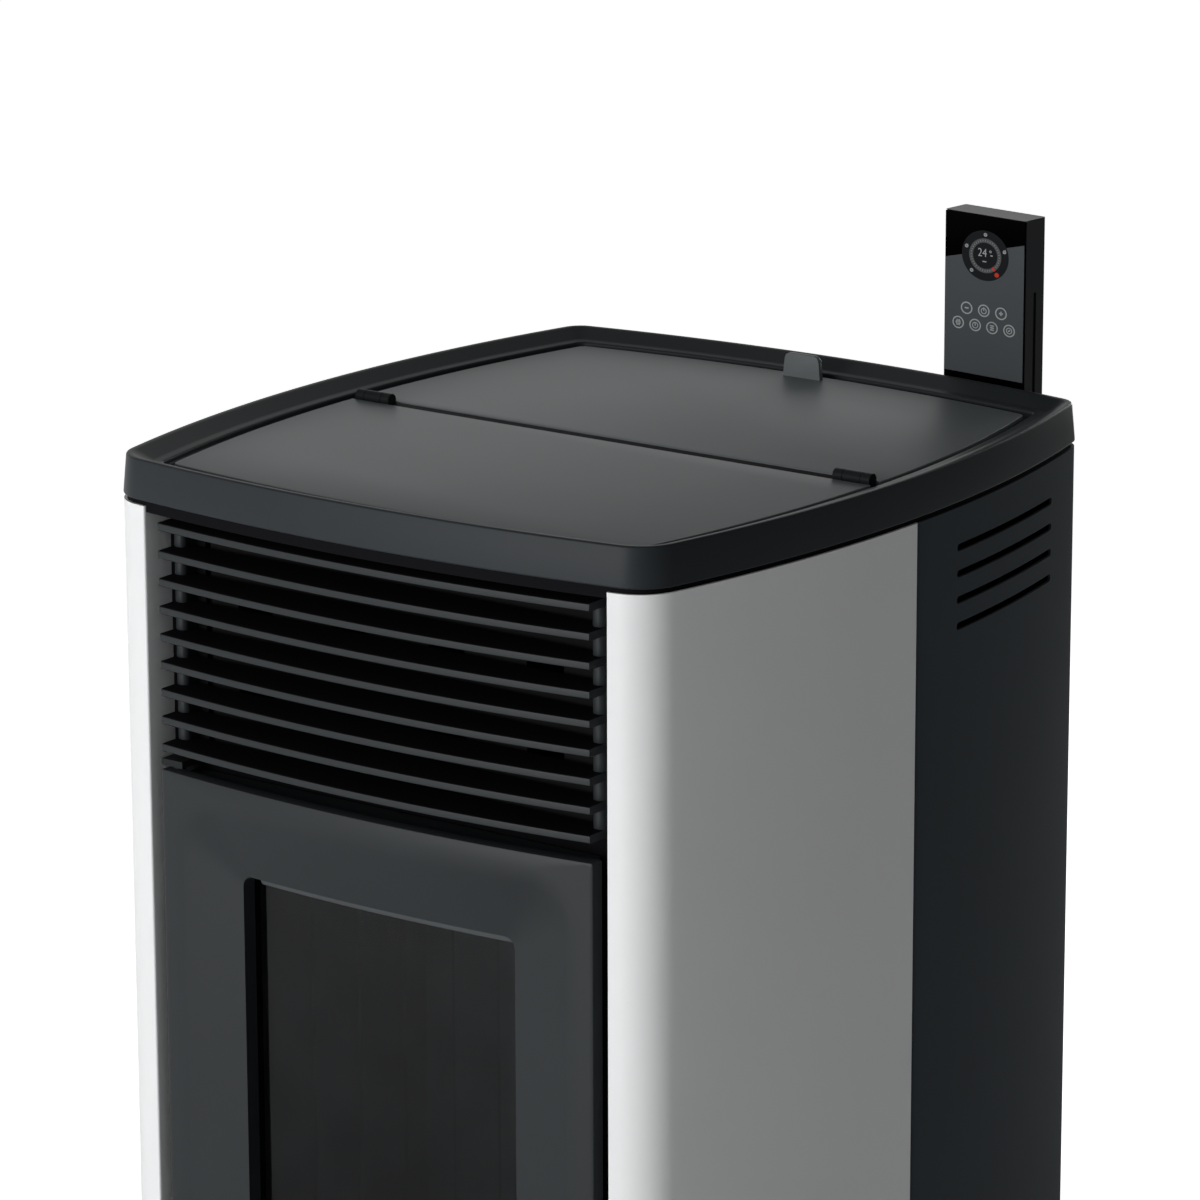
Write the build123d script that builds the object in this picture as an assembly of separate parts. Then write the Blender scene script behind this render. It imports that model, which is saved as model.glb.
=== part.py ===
from build123d import *
import math
import os

# Pellet stove. Millimetres, +Z up, the front faces -Y, +X is the viewer's right.
# The origin lies on the floor, under the middle of the whole stove.

# Plan of the body: four shallow bows that meet in rounded corners.
FRONT_X = 223.3         # half-width at the front corners
FRONT_Y = -274.2        # where the front and side bows meet
FRONT_BOW = 18.8        # how far the front bulges past its corners
REAR_X = 219.7
REAR_Y = 243.2
REAR_BOW = 20.6
SIDE_BOW = 33.5
FRONT_CORNER_R = 37.0
REAR_CORNER_R = 24.0
LEAST_CORNER_R = 7.0

# Heights.
TOP_Z = 1070.0          # top edge of the rim
RIM_H = 27.2
RIM_GAP = 3.4           # shadow gap between the rim and the panels
FOOT_H = 18.0           # underside of the base plate
BASE_T = 4.0
BASE_TOP = FOOT_H + BASE_T
RIM_BOTTOM = TOP_Z - RIM_H
PANEL_TOP = RIM_BOTTOM - RIM_GAP

# Outer casing.
BASE_INSET = 3.0
PANEL_INSET = 4.8
PANEL_T = 2.0
OPENING_X = 189.9       # half-width of the front opening between the panels
SIDE_SPLIT_Y = -12.0    # joint between the front and the rear side panels
PANEL_RETURN = 32.0     # depth of the return beside the front opening
BACK_X = 188.0          # half-width of the flat back
BACK_Y = 238.0
BACK_T = 2.0
VENT_TOP_Z = TOP_Z - 58.3
VENT_PITCH = 18.0
VENT_COUNT = 4
VENT_Y = (37.3, 185.0)
VENT_H = 3.6

# Rim and top plates.
RIM_FOOT = 4.3          # inset of the rim wall's lower edge
RIM_DRAFT = 6.8         # inset of its upper edge, so the wall leans in
RIM_EDGE = 4.0          # width of the rounded top edge
RIM_SLOPE_END = 31.0    # inset where the inner slope ends
RIM_SLOPE_DROP = 7.0
RIM_WALL = 8.3          # inset where the hollow behind the wall starts
RIM_RIB = 5.0           # wall on the hollow's inner side
LEDGE_END = 46.0
LEDGE_T = 5.0
PLATE_TOP = TOP_Z - 8.2
PLATE_INSET = 36.2
PLATE_T = 3.3
LID_T = 3.0
SPLIT_Y = -15.0         # line between the front plate and the hopper lid
SPLIT_GAP = 9.0
LEDGE_TOP = PLATE_TOP - PLATE_T
HINGE_X = (186.5, 215.5)
HINGE_R = 4.5
HINGE_PIN_R = 2.0
HINGE_Z = TOP_Z - 6.5
TAB_W = 31.5
TAB_H = 18.0
TAB_T = 4.0
TAB_Y = 215.4

# Front: grille, fire door and ash drawer.
FRONT_INSET = 5.5       # inset of the door, the grille and the drawer
FRONT_HALF = 179.5
FRAME_Y = -248.0        # front face of the frame plate
FRAME_T = 3.0
SLAT_COUNT = 9
SLAT_PITCH = 18.97
SLAT_TOP_Z = TOP_Z - 42.4
SLAT_HALF = 177.5
SLAT_T = 5.5
SLAT_REAR_Y = -252.0
POST_W = 9.5
POST_Y = -261.5
DOOR_TOP = TOP_Z - 209.5
DOOR_BOTTOM = 340.0
SKIN_T = 10.0
DOOR_BACK_Y = -252.0
DOOR_CORE_HALF = 168.0
BEVEL_MARGIN = 17.0
BEVEL_DEPTH = 12.0
WINDOW_HALF = 113.5
WINDOW_TOP = TOP_Z - 273.0
WINDOW_BOTTOM = 430.0
WINDOW_R = 8.0
GLASS_T = 4.0
GLASS_Y = -259.0
GLASS_LAP = 12.0
HINGE_AXIS = (-171.0, -266.0)
DOOR_PIN_R = 4.0
RUN_GAP = 0.05          # radial play of pins and shafts
LEVER_X = 171.0
LEVER_Z = 600.0
LEVER_L = 95.0
SPINDLE_R = 4.0
DRAWER_BOTTOM = 154.0
DRAWER_TOP = 330.0
TRAY_HALF = 146.0
TRAY_FRONT_Y = -265.0
TRAY_REAR_Y = -40.0
TRAY_Z = (172.0, 292.0)
SHEET = 1.5

# Fire side.
BULK_Y = -22.0          # front face of the bulkhead behind the firebox
BULK_T = 3.0
BULK_HALF = 196.0
FIRE_HALF = 158.0
FIRE_T = 4.0
FIRE_Z = (338.0, 1020.0)
FIRE_ROOF_Z = 862.0     # top of the fire's own room, under the exchanger tubes
HEARTH_Z = 396.0
HEARTH_T = 6.0
LINING_T = 8.0
LINING_TOP = 850.0
POT_Y = -130.0
POT_HALF = 45.0
POT_FLANGE_HALF = 55.0
POT_DEPTH = 48.0
TUBE_R = 17.0
TUBE_X = (-120.0, -40.0, 40.0, 120.0)
TUBE_Z = (915.0, 975.0)

# Fuel side.
HOPPER_HALF = 165.0
HOPPER_Y = (24.0, 200.0)
HOPPER_KNEE_Z = 760.0
THROAT_HALF = 25.0
THROAT_Y = (90.0, 150.0)
THROAT_Z = 604.0
HOPPER_TOP = LEDGE_TOP - LEDGE_T
AUGER_TILT = 40.0
AUGER_TOP = (0.0, 5.0, 660.0)
AUGER_L = 190.0
AUGER_TUBE_R = 28.0
AUGER_R = 25.0
AUGER_SHAFT_R = 8.0
AUGER_PITCH = 45.0
DUCT_HALF = 150.0
DUCT_REAR_Y = 20.0
DUCT_Z = (330.0, 1010.0)

# Fans and connections on the back.
SMOKE_X = 105.0
SMOKE_Z = 250.0
FLUE_Z = 150.0
FLUE_R = 40.0
FLUE_END_Y = 288.7
INTAKE_X = -140.0
INTAKE_Z = 230.0
INTAKE_R = 25.0
INTAKE_END_Y = 285.0
ROOM_FAN_X = (-95.0, 25.0)
ROOM_FAN_Y = 60.0
ROOM_FAN_Z = 215.0
ROOM_FAN_R = 60.0
INLET_X = -60.0
INLET_Z = 330.0

# Remote control in its holder behind the rim.
REMOTE_W = 71.0
REMOTE_T = 23.0
REMOTE_Z = (1008.0, 1186.2)
REMOTE_X = 125.4
REMOTE_Y = 270.5
REMOTE_TURN = -5.8
REMOTE_GLASS_T = 2.0

os.makedirs("parts", exist_ok=True)


def save(name, *solids):
    """Write one node, made of one solid or of several separate ones."""
    pieces = [piece for shape in solids for piece in shape.solids()]
    body = pieces[0] if len(pieces) == 1 else Compound(children=pieces)
    body.label = name
    export_step(body, f"parts/{name}.step")


def block(x, y, z):
    """Block between the limits of each axis."""
    centre = Pos(sum(x) / 2, sum(y) / 2, sum(z) / 2)
    return centre * Box(x[1] - x[0], y[1] - y[0], z[1] - z[0])


def both(x):
    """Limits from -x to +x."""
    return (-x, x)


def rod(radius, start, end):
    """Round bar from start to end."""
    along = Vector(*end) - Vector(*start)
    plane = Plane(origin=start, z_dir=along)
    return extrude(plane * Circle(radius), along.length)


def bow_radius(half_chord, rise):
    """Radius of the arc that rises this far over its chord."""
    return (half_chord**2 + rise**2) / (2 * rise)


FRONT_R = bow_radius(FRONT_X, FRONT_BOW)
FRONT_CENTRE_Y = FRONT_Y - FRONT_BOW + FRONT_R
REAR_R = bow_radius(REAR_X, REAR_BOW)
PLANS = {}


def front_y(x, inset):
    """Y of the front bow at x, drawn in by inset."""
    return FRONT_CENTRE_Y - math.sqrt((FRONT_R - inset) ** 2 - x**2)


def plan(inset):
    """Plan of the body, drawn in by inset, as a face at height 0."""
    if inset not in PLANS:
        front = ThreePointArc((-FRONT_X, FRONT_Y), (0, FRONT_Y - FRONT_BOW), (FRONT_X, FRONT_Y))
        side_x = (FRONT_X + REAR_X) / 2 + SIDE_BOW
        side_y = (FRONT_Y + REAR_Y) / 2
        right = ThreePointArc((FRONT_X, FRONT_Y), (side_x, side_y), (REAR_X, REAR_Y))
        rear = ThreePointArc((REAR_X, REAR_Y), (0, REAR_Y + REAR_BOW), (-REAR_X, REAR_Y))
        left = ThreePointArc((-REAR_X, REAR_Y), (-side_x, side_y), (-FRONT_X, FRONT_Y))
        face = make_face([front, right, rear, left])
        if inset:
            face = offset(face, amount=-inset, kind=Kind.INTERSECTION)
        corners = face.vertices().sort_by(Axis.Y)
        face = fillet(corners[:2], max(FRONT_CORNER_R - inset, LEAST_CORNER_R))
        corners = [v for v in face.vertices() if v.Y > 0].copy()
        corners = ShapeList(corners).sort_by(Axis.Y)[-2:]
        PLANS[inset] = fillet(corners, max(REAR_CORNER_R - inset, LEAST_CORNER_R))
    return PLANS[inset]


def slab(inset, z):
    """The whole plan, drawn in by inset, between two heights."""
    return Pos(0, 0, z[0]) * extrude(plan(inset), z[1] - z[0])


def shell(inset, thickness, z):
    """Upright wall that follows the plan."""
    ring = plan(inset) - plan(inset + thickness)
    return Pos(0, 0, z[0]) * extrude(ring, z[1] - z[0])


def front_skin(half, thickness, z):
    """Plate that follows the front bow, drawn in by FRONT_INSET."""
    return shell(FRONT_INSET, thickness, z) & block(both(half), (-400, -150), z)


def mirror_x(shape):
    return mirror(shape, about=Plane.YZ)


# Base plate with a welded nut over each foot, and the feet.
FOOT_X = 180.0
FOOT_Y = (-190.0, 190.0)
STEM_R = 5.0
STEM_TOP = 58.0
NUT_H = 10.0
feet = {
    "front_left": (-FOOT_X, FOOT_Y[0]),
    "front_right": (FOOT_X, FOOT_Y[0]),
    "rear_left": (-FOOT_X, FOOT_Y[1]),
    "rear_right": (FOOT_X, FOOT_Y[1]),
}
base = slab(BASE_INSET, (FOOT_H, BASE_TOP))
for x, y in feet.values():
    nut = Pos(x, y, BASE_TOP) * extrude(RegularPolygon(10, 6), NUT_H)
    base = base + nut
    base -= rod(STEM_R + RUN_GAP, (x, y, 0), (x, y, 100))
save("base_plate", base)
for name, (x, y) in feet.items():
    pad_profile = Polyline(
        (0, 0), (22, 0), (22, 5), (11, 13), (11, FOOT_H),
        (STEM_R, FOOT_H), (STEM_R, STEM_TOP), (0, STEM_TOP), close=True,
    )
    pad = revolve(Plane.XZ * make_face(pad_profile), Axis.Z)
    save(f"foot_{name}", Pos(x, y, 0) * pad)

# Corner posts that carry the rim.
POST_LEG = 24.0
POST_FRONT = (194.0, -236.0)
POST_REAR = (191.0, 205.0)


def corner_post(x, y, depth):
    """Angle bar from the base plate up to the rim, its legs running outwards and along depth."""
    legs = block((x, x + POST_LEG), (y, y + 2), (BASE_TOP, RIM_BOTTOM))
    return legs + block((x, x + 2), sorted((y, y + depth)), (BASE_TOP, RIM_BOTTOM))


front_post = corner_post(*POST_FRONT, POST_LEG)
rear_post = corner_post(*POST_REAR, -POST_LEG)
save("corner_posts", front_post, mirror_x(front_post), rear_post, mirror_x(rear_post))

# Front frame plate, with its openings for the grille, the fire and the drawer.
MOUTH_HALF = 150.0
MOUTH_Z = (356.0, 846.0)
frame = block(both(OPENING_X), (FRAME_Y, FRAME_Y + FRAME_T), (BASE_TOP, PANEL_TOP))
frame -= block(both(MOUTH_HALF), (-300, -200), MOUTH_Z)
frame -= block(both(MOUTH_HALF + 2), (-300, -200), (TRAY_Z[0] - 6, DRAWER_TOP - 8))
frame -= block(both(160), (-300, -200), (DOOR_TOP + 12, PANEL_TOP - 10))
frame -= block((LEVER_X - 9, LEVER_X + 9), (-300, -200), (LEVER_Z - 12, LEVER_Z + 20))
save("front_frame", frame)

# White front side panels: skin, return beside the opening, flange at the joint.
skin = shell(PANEL_INSET, PANEL_T, (BASE_TOP, PANEL_TOP))
front_part = skin & block((OPENING_X, 300), (-400, SIDE_SPLIT_Y - 0.5), (0, TOP_Z))
return_y = front_y(OPENING_X, PANEL_INSET)
edge = block((OPENING_X, OPENING_X + PANEL_T), (-300, return_y + PANEL_RETURN), (BASE_TOP, PANEL_TOP))
edge &= slab(PANEL_INSET, (BASE_TOP, PANEL_TOP))
joint = slab(PANEL_INSET, (BASE_TOP, PANEL_TOP)) & block(
    (236, 300), (SIDE_SPLIT_Y - 0.5 - PANEL_T, SIDE_SPLIT_Y - 0.5), (0, TOP_Z)
)
side_panel = front_part + edge + joint
save("right_side_panel", side_panel)
save("left_side_panel", mirror_x(side_panel))

# Dark rear side panels with the vent slots.
rear_part = skin & block((BACK_X - PANEL_T, 300), (SIDE_SPLIT_Y, 400), (0, TOP_Z))
rear_edge = slab(PANEL_INSET, (BASE_TOP, PANEL_TOP)) & block(
    (BACK_X - PANEL_T, BACK_X), (BACK_Y + BACK_T, 300), (0, TOP_Z)
)
joint = slab(PANEL_INSET, (BASE_TOP, PANEL_TOP)) & block(
    (236, 300), (SIDE_SPLIT_Y, SIDE_SPLIT_Y + PANEL_T), (0, TOP_Z)
)
rear_panel = rear_part + rear_edge + joint
for row in range(VENT_COUNT):
    z = VENT_TOP_Z - row * VENT_PITCH
    slot = SlotOverall(VENT_Y[1] - VENT_Y[0], VENT_H)
    cutter = extrude(Plane.YZ * slot, 60)
    rear_panel -= Pos(225, sum(VENT_Y) / 2, z) * cutter
save("right_rear_panel", rear_panel)
save("left_rear_panel", mirror_x(rear_panel))

# Flat back with the cut-outs for flue, air intake and mains, and the fan's louvres.
LOUVRE_ROWS = 6
back = block(both(BACK_X), (BACK_Y, BACK_Y + BACK_T), (BASE_TOP, PANEL_TOP))
back -= rod(FLUE_R + 1, (SMOKE_X, 200, FLUE_Z), (SMOKE_X, 300, FLUE_Z))
back -= rod(INTAKE_R, (INTAKE_X, 200, INTAKE_Z), (INTAKE_X, 300, INTAKE_Z))
back -= block((INLET_X - 14, INLET_X + 14), (200, 300), (INLET_Z - 24, INLET_Z + 24))
for row in range(LOUVRE_ROWS):
    z = 120 + row * 22
    back -= block((-85, 15), (200, 300), (z, z + 6))
save("back_panel", back)

# Rim: leaning outer wall, rounded top edge, inner slope and the ledge for the plates.
outer = loft([Pos(0, 0, RIM_BOTTOM) * plan(RIM_FOOT), Pos(0, 0, TOP_Z) * plan(RIM_DRAFT)], ruled=True)
slope = loft(
    [
        Pos(0, 0, TOP_Z - RIM_SLOPE_DROP) * plan(RIM_SLOPE_END),
        Pos(0, 0, TOP_Z) * plan(RIM_DRAFT + RIM_EDGE),
    ],
    ruled=True,
)
rim = outer - slope
rim -= slab(RIM_SLOPE_END, (LEDGE_TOP, TOP_Z))
rim -= slab(RIM_SLOPE_END, (RIM_BOTTOM, HOPPER_TOP))
rim -= shell(RIM_WALL, RIM_SLOPE_END - RIM_RIB - RIM_WALL, (RIM_BOTTOM, LEDGE_TOP - 2))
mouth = slab(LEDGE_END, (0, 2 * TOP_Z))
rim -= mouth - block(both(300), (SPLIT_Y - 20, SPLIT_Y + 20), (0, 2 * TOP_Z))
top_edges = [e for e in rim.edges() if e.center().Z > TOP_Z - 0.1 and e.bounding_box().min.Z > TOP_Z - 0.1]
rim = fillet(top_edges, 1.6)
save("top_rim", rim)

# Front top plate and the hopper lid with its lifting tab.
plate = slab(PLATE_INSET, (LEDGE_TOP, PLATE_TOP))
front_plate = plate & block(both(300), (-400, SPLIT_Y - SPLIT_GAP / 2), (0, 2 * TOP_Z))
save("front_top_plate", front_plate)
lid = slab(PLATE_INSET, (PLATE_TOP - LID_T, PLATE_TOP))
lid &= block(both(300), (SPLIT_Y + SPLIT_GAP / 2, 400), (0, 2 * TOP_Z))
tab_outline = Polyline(
    (-TAB_W / 2, 0), (TAB_W / 2, 0), (TAB_W / 2 - 1.5, TAB_H - 1), (-TAB_W / 2 + 1.5, TAB_H - 1), close=True
)
tab_face = make_face(tab_outline)
tab_face = fillet(tab_face.vertices().sort_by(Axis.Y)[-2:], 4)
tab = extrude(Plane.XZ * tab_face, -TAB_T)
lid += Pos(0, TAB_Y, PLATE_TOP) * tab
save("hopper_lid", lid)

# Lid hinges: fixed knuckles on the front plate, a sleeve on the lid, one pin through all.
SLEEVE_X = (194.0, 208.0)
hinge_line = (SPLIT_Y, HINGE_Z)


def barrel(x, radius):
    return rod(radius, (x[0], *hinge_line), (x[1], *hinge_line))


def knuckle(x, edge_y):
    """Short barrel with a tongue that ends at a plate's edge."""
    tongue = block(x, sorted((SPLIT_Y, edge_y)), (PLATE_TOP - LID_T, PLATE_TOP))
    return barrel(x, HINGE_R) + tongue - barrel(x, HINGE_PIN_R + RUN_GAP)


fixed = [
    knuckle((HINGE_X[0], SLEEVE_X[0] - 0.4), SPLIT_Y - SPLIT_GAP / 2),
    knuckle((SLEEVE_X[1] + 0.4, HINGE_X[1]), SPLIT_Y - SPLIT_GAP / 2),
]
sleeve = knuckle(SLEEVE_X, SPLIT_Y + SPLIT_GAP / 2)
pin = barrel(HINGE_X, HINGE_PIN_R)
fixed.append(pin)
save("lid_hinge_knuckles", *fixed, *[mirror_x(piece) for piece in fixed])
save("lid_hinge_sleeves", sleeve, mirror_x(sleeve))

# Front air grille: nine bowed slats on two posts.
slats = []
for row in range(SLAT_COUNT):
    z = SLAT_TOP_Z - row * SLAT_PITCH
    slat = slab(FRONT_INSET, (z - SLAT_T / 2, z + SLAT_T / 2)) & block(
        both(SLAT_HALF), (-400, SLAT_REAR_Y), (0, TOP_Z)
    )
    nose = [e for e in slat.edges() if e.length > 300 and e.center().Y < FRAME_Y - 20]
    slats.append(fillet(nose, SLAT_T * 0.4))
slat_bottom = SLAT_TOP_Z - (SLAT_COUNT - 1) * SLAT_PITCH - SLAT_T / 2
post = block((SLAT_HALF - POST_W, SLAT_HALF), (POST_Y, FRAME_Y), (slat_bottom, SLAT_TOP_Z + SLAT_T / 2))
post = fillet(post.edges().filter_by(Axis.Z).group_by(Axis.Y)[0], POST_W * 0.35)
grille = Part() + slats + post + mirror_x(post)
save("air_grille", grille)

# Fire door: bowed skin on a flat-backed core, bevelled in to the window.
door = front_skin(FRONT_HALF, SKIN_T, (DOOR_BOTTOM, DOOR_TOP))
core = slab(FRONT_INSET, (DOOR_BOTTOM + 3, DOOR_TOP - 3))
core &= block(both(DOOR_CORE_HALF), (-400, DOOR_BACK_Y), (0, TOP_Z))
door += core
hinge_x, hinge_y = HINGE_AXIS
for z in ((DOOR_BOTTOM, DOOR_BOTTOM + 40), (DOOR_TOP - 40, DOOR_TOP)):
    door += block((hinge_x - 7, hinge_x + 11), (hinge_y - 4, hinge_y + 8), z)
door += block((LEVER_X - 8, LEVER_X + 8), (-272, DOOR_BACK_Y), (LEVER_Z - 20, LEVER_Z + 20))


def bevel_cutter():
    """Sunk field of the door: slopes in from the margin on all four sides, along the bow."""
    surface = FRONT_R - FRONT_INSET
    floor = surface - BEVEL_DEPTH
    top, bottom = DOOR_TOP - BEVEL_MARGIN, DOOR_BOTTOM + BEVEL_MARGIN
    run = FRONT_HALF - BEVEL_MARGIN - WINDOW_HALF
    upright = Polyline(
        (surface + 9, bottom), (surface, bottom), (floor, WINDOW_BOTTOM),
        (floor, top - run), (surface, top), (surface + 9, top), close=True,
    )
    turned = Plane((0, FRONT_CENTRE_Y, 0), x_dir=(-0.3, -1, 0), z_dir=(-1, 0.3, 0))
    across = revolve(turned * make_face(upright), Axis((0, FRONT_CENTRE_Y, 0), (0, 0, 1)), 33.4)
    side = FRONT_HALF - BEVEL_MARGIN
    line = Polyline(
        (-WINDOW_HALF, front_y(WINDOW_HALF, FRONT_INSET + BEVEL_DEPTH)),
        (-side, front_y(side, FRONT_INSET)), (-side, -400), (side, -400),
        (side, front_y(side, FRONT_INSET)),
        (WINDOW_HALF, front_y(WINDOW_HALF, FRONT_INSET + BEVEL_DEPTH)),
    )
    back_line = ThreePointArc(
        (WINDOW_HALF, front_y(WINDOW_HALF, FRONT_INSET + BEVEL_DEPTH)),
        (0, front_y(0, FRONT_INSET + BEVEL_DEPTH)),
        (-WINDOW_HALF, front_y(WINDOW_HALF, FRONT_INSET + BEVEL_DEPTH)),
    )
    along = extrude(make_face([*line.edges(), back_line]), 2 * TOP_Z, dir=(0, 0, 1))
    return across & along


def upright_window(half, z, radius):
    """Rounded rectangle through the door, along Y."""
    face = RectangleRounded(2 * half, z[1] - z[0], radius)
    return Pos(0, -200, sum(z) / 2) * extrude(Plane.XZ * face, 200)


door -= bevel_cutter()
door -= upright_window(WINDOW_HALF, (WINDOW_BOTTOM, WINDOW_TOP), WINDOW_R)
glass_half = WINDOW_HALF + GLASS_LAP
glass_z = (WINDOW_BOTTOM - GLASS_LAP, WINDOW_TOP + GLASS_LAP)
door -= block(both(glass_half), (GLASS_Y, -240), glass_z)
SEAL_IN = 152.0
SEAL_W = 8.0
SEAL_Z = (346.0, DOOR_TOP - 5)
seal = block(both(SEAL_IN + SEAL_W), (DOOR_BACK_Y - 2.5, FRAME_Y - 0.3), SEAL_Z)
seal -= block(both(SEAL_IN), (-300, -200), (SEAL_Z[0] + SEAL_W, SEAL_Z[1] - SEAL_W))
door -= seal
for z in ((DOOR_BOTTOM - 1, DOOR_BOTTOM + 12), (DOOR_TOP - 12, DOOR_TOP + 1)):
    door -= rod(DOOR_PIN_R + RUN_GAP, (*HINGE_AXIS, z[0]), (*HINGE_AXIS, z[1]))
door -= rod(SPINDLE_R + RUN_GAP, (LEVER_X, -300, LEVER_Z), (LEVER_X, -200, LEVER_Z))
save("fire_door", door)
save("door_seal", seal)
save("door_glass", block(both(glass_half), (GLASS_Y, GLASS_Y + GLASS_T), glass_z))
retainer = block(both(glass_half), (GLASS_Y + GLASS_T, DOOR_BACK_Y), glass_z)
retainer -= block(both(WINDOW_HALF), (-300, -200), (WINDOW_BOTTOM, WINDOW_TOP))
save("glass_retainer", retainer)

# Door hinge brackets on the frame, and the pins that they hold.
BRACKET_Z = ((333.0, 337.5), (DOOR_TOP + 2.5, DOOR_TOP + 7))
hinge_pieces = []
for (low, high), end in zip(BRACKET_Z, (DOOR_BOTTOM + 11, DOOR_TOP - 11)):
    bracket = block((hinge_x - 9, hinge_x + 9), (hinge_y - 8, FRAME_Y), (low, high))
    hinge_pieces.append(bracket - rod(DOOR_PIN_R, (*HINGE_AXIS, 0), (*HINGE_AXIS, TOP_Z)))
    hinge_pieces.append(rod(DOOR_PIN_R, (*HINGE_AXIS, min(low, end)), (*HINGE_AXIS, max(high, end))))
save("door_hinge_brackets", *hinge_pieces)

# Door lever, and the spindle with the cam that turns behind the frame plate.
CAM_Y = (-242.5, -237.5)
lever_y = (-289.0, -281.0)
hub_end_y = -278.5
lever = rod(7.5, (LEVER_X, lever_y[0], LEVER_Z), (LEVER_X, hub_end_y, LEVER_Z))
grip = Pos(LEVER_X, lever_y[1], LEVER_Z - LEVER_L / 2 + 5.5) * extrude(
    Plane.XZ * SlotOverall(LEVER_L, 11, rotation=90), lever_y[1] - lever_y[0]
)
lever += grip
spindle = rod(SPINDLE_R, (LEVER_X, -285, LEVER_Z), (LEVER_X, CAM_Y[0], LEVER_Z))
save("door_lever", lever - spindle)
cam = rod(6.5, (LEVER_X, CAM_Y[0], LEVER_Z), (LEVER_X, CAM_Y[1], LEVER_Z))
cam += block((LEVER_X - 5, LEVER_X + 5), CAM_Y, (LEVER_Z, LEVER_Z + 16))
save("latch_cam", cam + spindle)

# Lower fascia under the drawer.
fascia = front_skin(FRONT_HALF, 2, (BASE_TOP, DRAWER_BOTTOM - 4))
for x in (-150, 150):
    brace = block((x - 10, x + 10), (-300, FRAME_Y), (40, 140))
    fascia += brace & slab(FRONT_INSET + 1, (0, TOP_Z))
save("lower_fascia", fascia)

# Ash drawer: bowed front with a hand slot, sheet tray, and the runners.
GRIP_HALF = 55.0
GRIP_Z = (288.0, 312.0)
drawer_front = front_skin(FRONT_HALF, SKIN_T, (DRAWER_BOTTOM, DRAWER_TOP))
hand_slot = SlotOverall(2 * GRIP_HALF, GRIP_Z[1] - GRIP_Z[0])
drawer_front -= Pos(0, -200, sum(GRIP_Z) / 2) * extrude(Plane.XZ * hand_slot, 200)
save("ash_drawer_front", drawer_front)
tray = block(both(TRAY_HALF), (TRAY_FRONT_Y, TRAY_REAR_Y), TRAY_Z)
tray -= block(
    both(TRAY_HALF - SHEET), (TRAY_FRONT_Y + SHEET, TRAY_REAR_Y - SHEET), (TRAY_Z[0] + SHEET, TRAY_Z[1] + 1)
)
for x in (-125, 125):
    lug = block((x - 12, x + 12), (-300, TRAY_FRONT_Y), (190, 270))
    tray += lug & slab(FRONT_INSET + SKIN_T, (0, TOP_Z))
save("ash_tray", tray)
runner_y = (FRAME_Y + FRAME_T, BULK_Y)
runner = block((TRAY_HALF - 6, MOUTH_HALF + 8), runner_y, (TRAY_Z[0] - 3.3, TRAY_Z[0] - 0.3))
runner += block((TRAY_HALF + 4, MOUTH_HALF + 8), runner_y, (TRAY_Z[0] - 3.3, TRAY_Z[0] + 20))
save("drawer_runners", runner, mirror_x(runner))

# Auger frame: its axis climbs towards the front.
TILT = math.radians(AUGER_TILT)
auger_dir = Vector(0, math.cos(TILT), -math.sin(TILT))
auger_top = Vector(*AUGER_TOP)


def on_auger(distance):
    """Point on the auger's axis, this far down from its top end."""
    return tuple(auger_top + auger_dir * distance)


CHUTE_R = 27.0
CHUTE_WALL = 2.0
chute_start = (0, 18, 632)
chute_end = (0, -66, 562)

# Bulkhead behind the firebox.
bulkhead = block(both(BULK_HALF), (BULK_Y, BULK_Y + BULK_T), (BASE_TOP, PANEL_TOP - 4))
tube_places = [(x, z) for x in TUBE_X for z in TUBE_Z]
for x, z in tube_places:
    bulkhead -= rod(TUBE_R, (x, -100, z), (x, 100, z))
bulkhead -= rod(CHUTE_R, chute_start, chute_end)
bulkhead -= rod(6, (0, -100, 372), (0, 100, 372))
bulkhead -= rod(FLUE_R, (SMOKE_X, -100, SMOKE_Z), (SMOKE_X, 100, SMOKE_Z))
bulkhead -= rod(INTAKE_R, (INTAKE_X, -100, INTAKE_Z), (INTAKE_X, 100, INTAKE_Z))
save("bulkhead", bulkhead)

# Firebox: steel box, open in front up to the roof, tube plates above it.
fire_y = (FRAME_Y + FRAME_T, BULK_Y)
inner = FIRE_HALF - FIRE_T
inner_y = (fire_y[0] + FIRE_T, fire_y[1] - FIRE_T)
firebox = block(both(FIRE_HALF), fire_y, FIRE_Z)
firebox -= block(both(inner), inner_y, (FIRE_Z[0] + FIRE_T, FIRE_Z[1] - FIRE_T))
firebox -= block(both(inner), (-300, -230), (FIRE_Z[0] + FIRE_T, FIRE_ROOF_Z))
firebox -= block(both(60), (POT_Y - 60, POT_Y + 60), (300, 360))
for x, z in tube_places:
    firebox -= rod(TUBE_R, (x, -300, z), (x, 100, z))
firebox -= rod(CHUTE_R, chute_start, chute_end)
firebox -= rod(6, (0, -100, 372), (0, 100, 372))
save("firebox", firebox)
tubes = []
for x, z in tube_places:
    tube = rod(TUBE_R, (x, fire_y[0], z), (x, BULK_Y + BULK_T, z))
    tubes.append(tube - rod(TUBE_R - 2, (x, -300, z), (x, 100, z)))
save("exchanger_tubes", *tubes)

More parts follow.
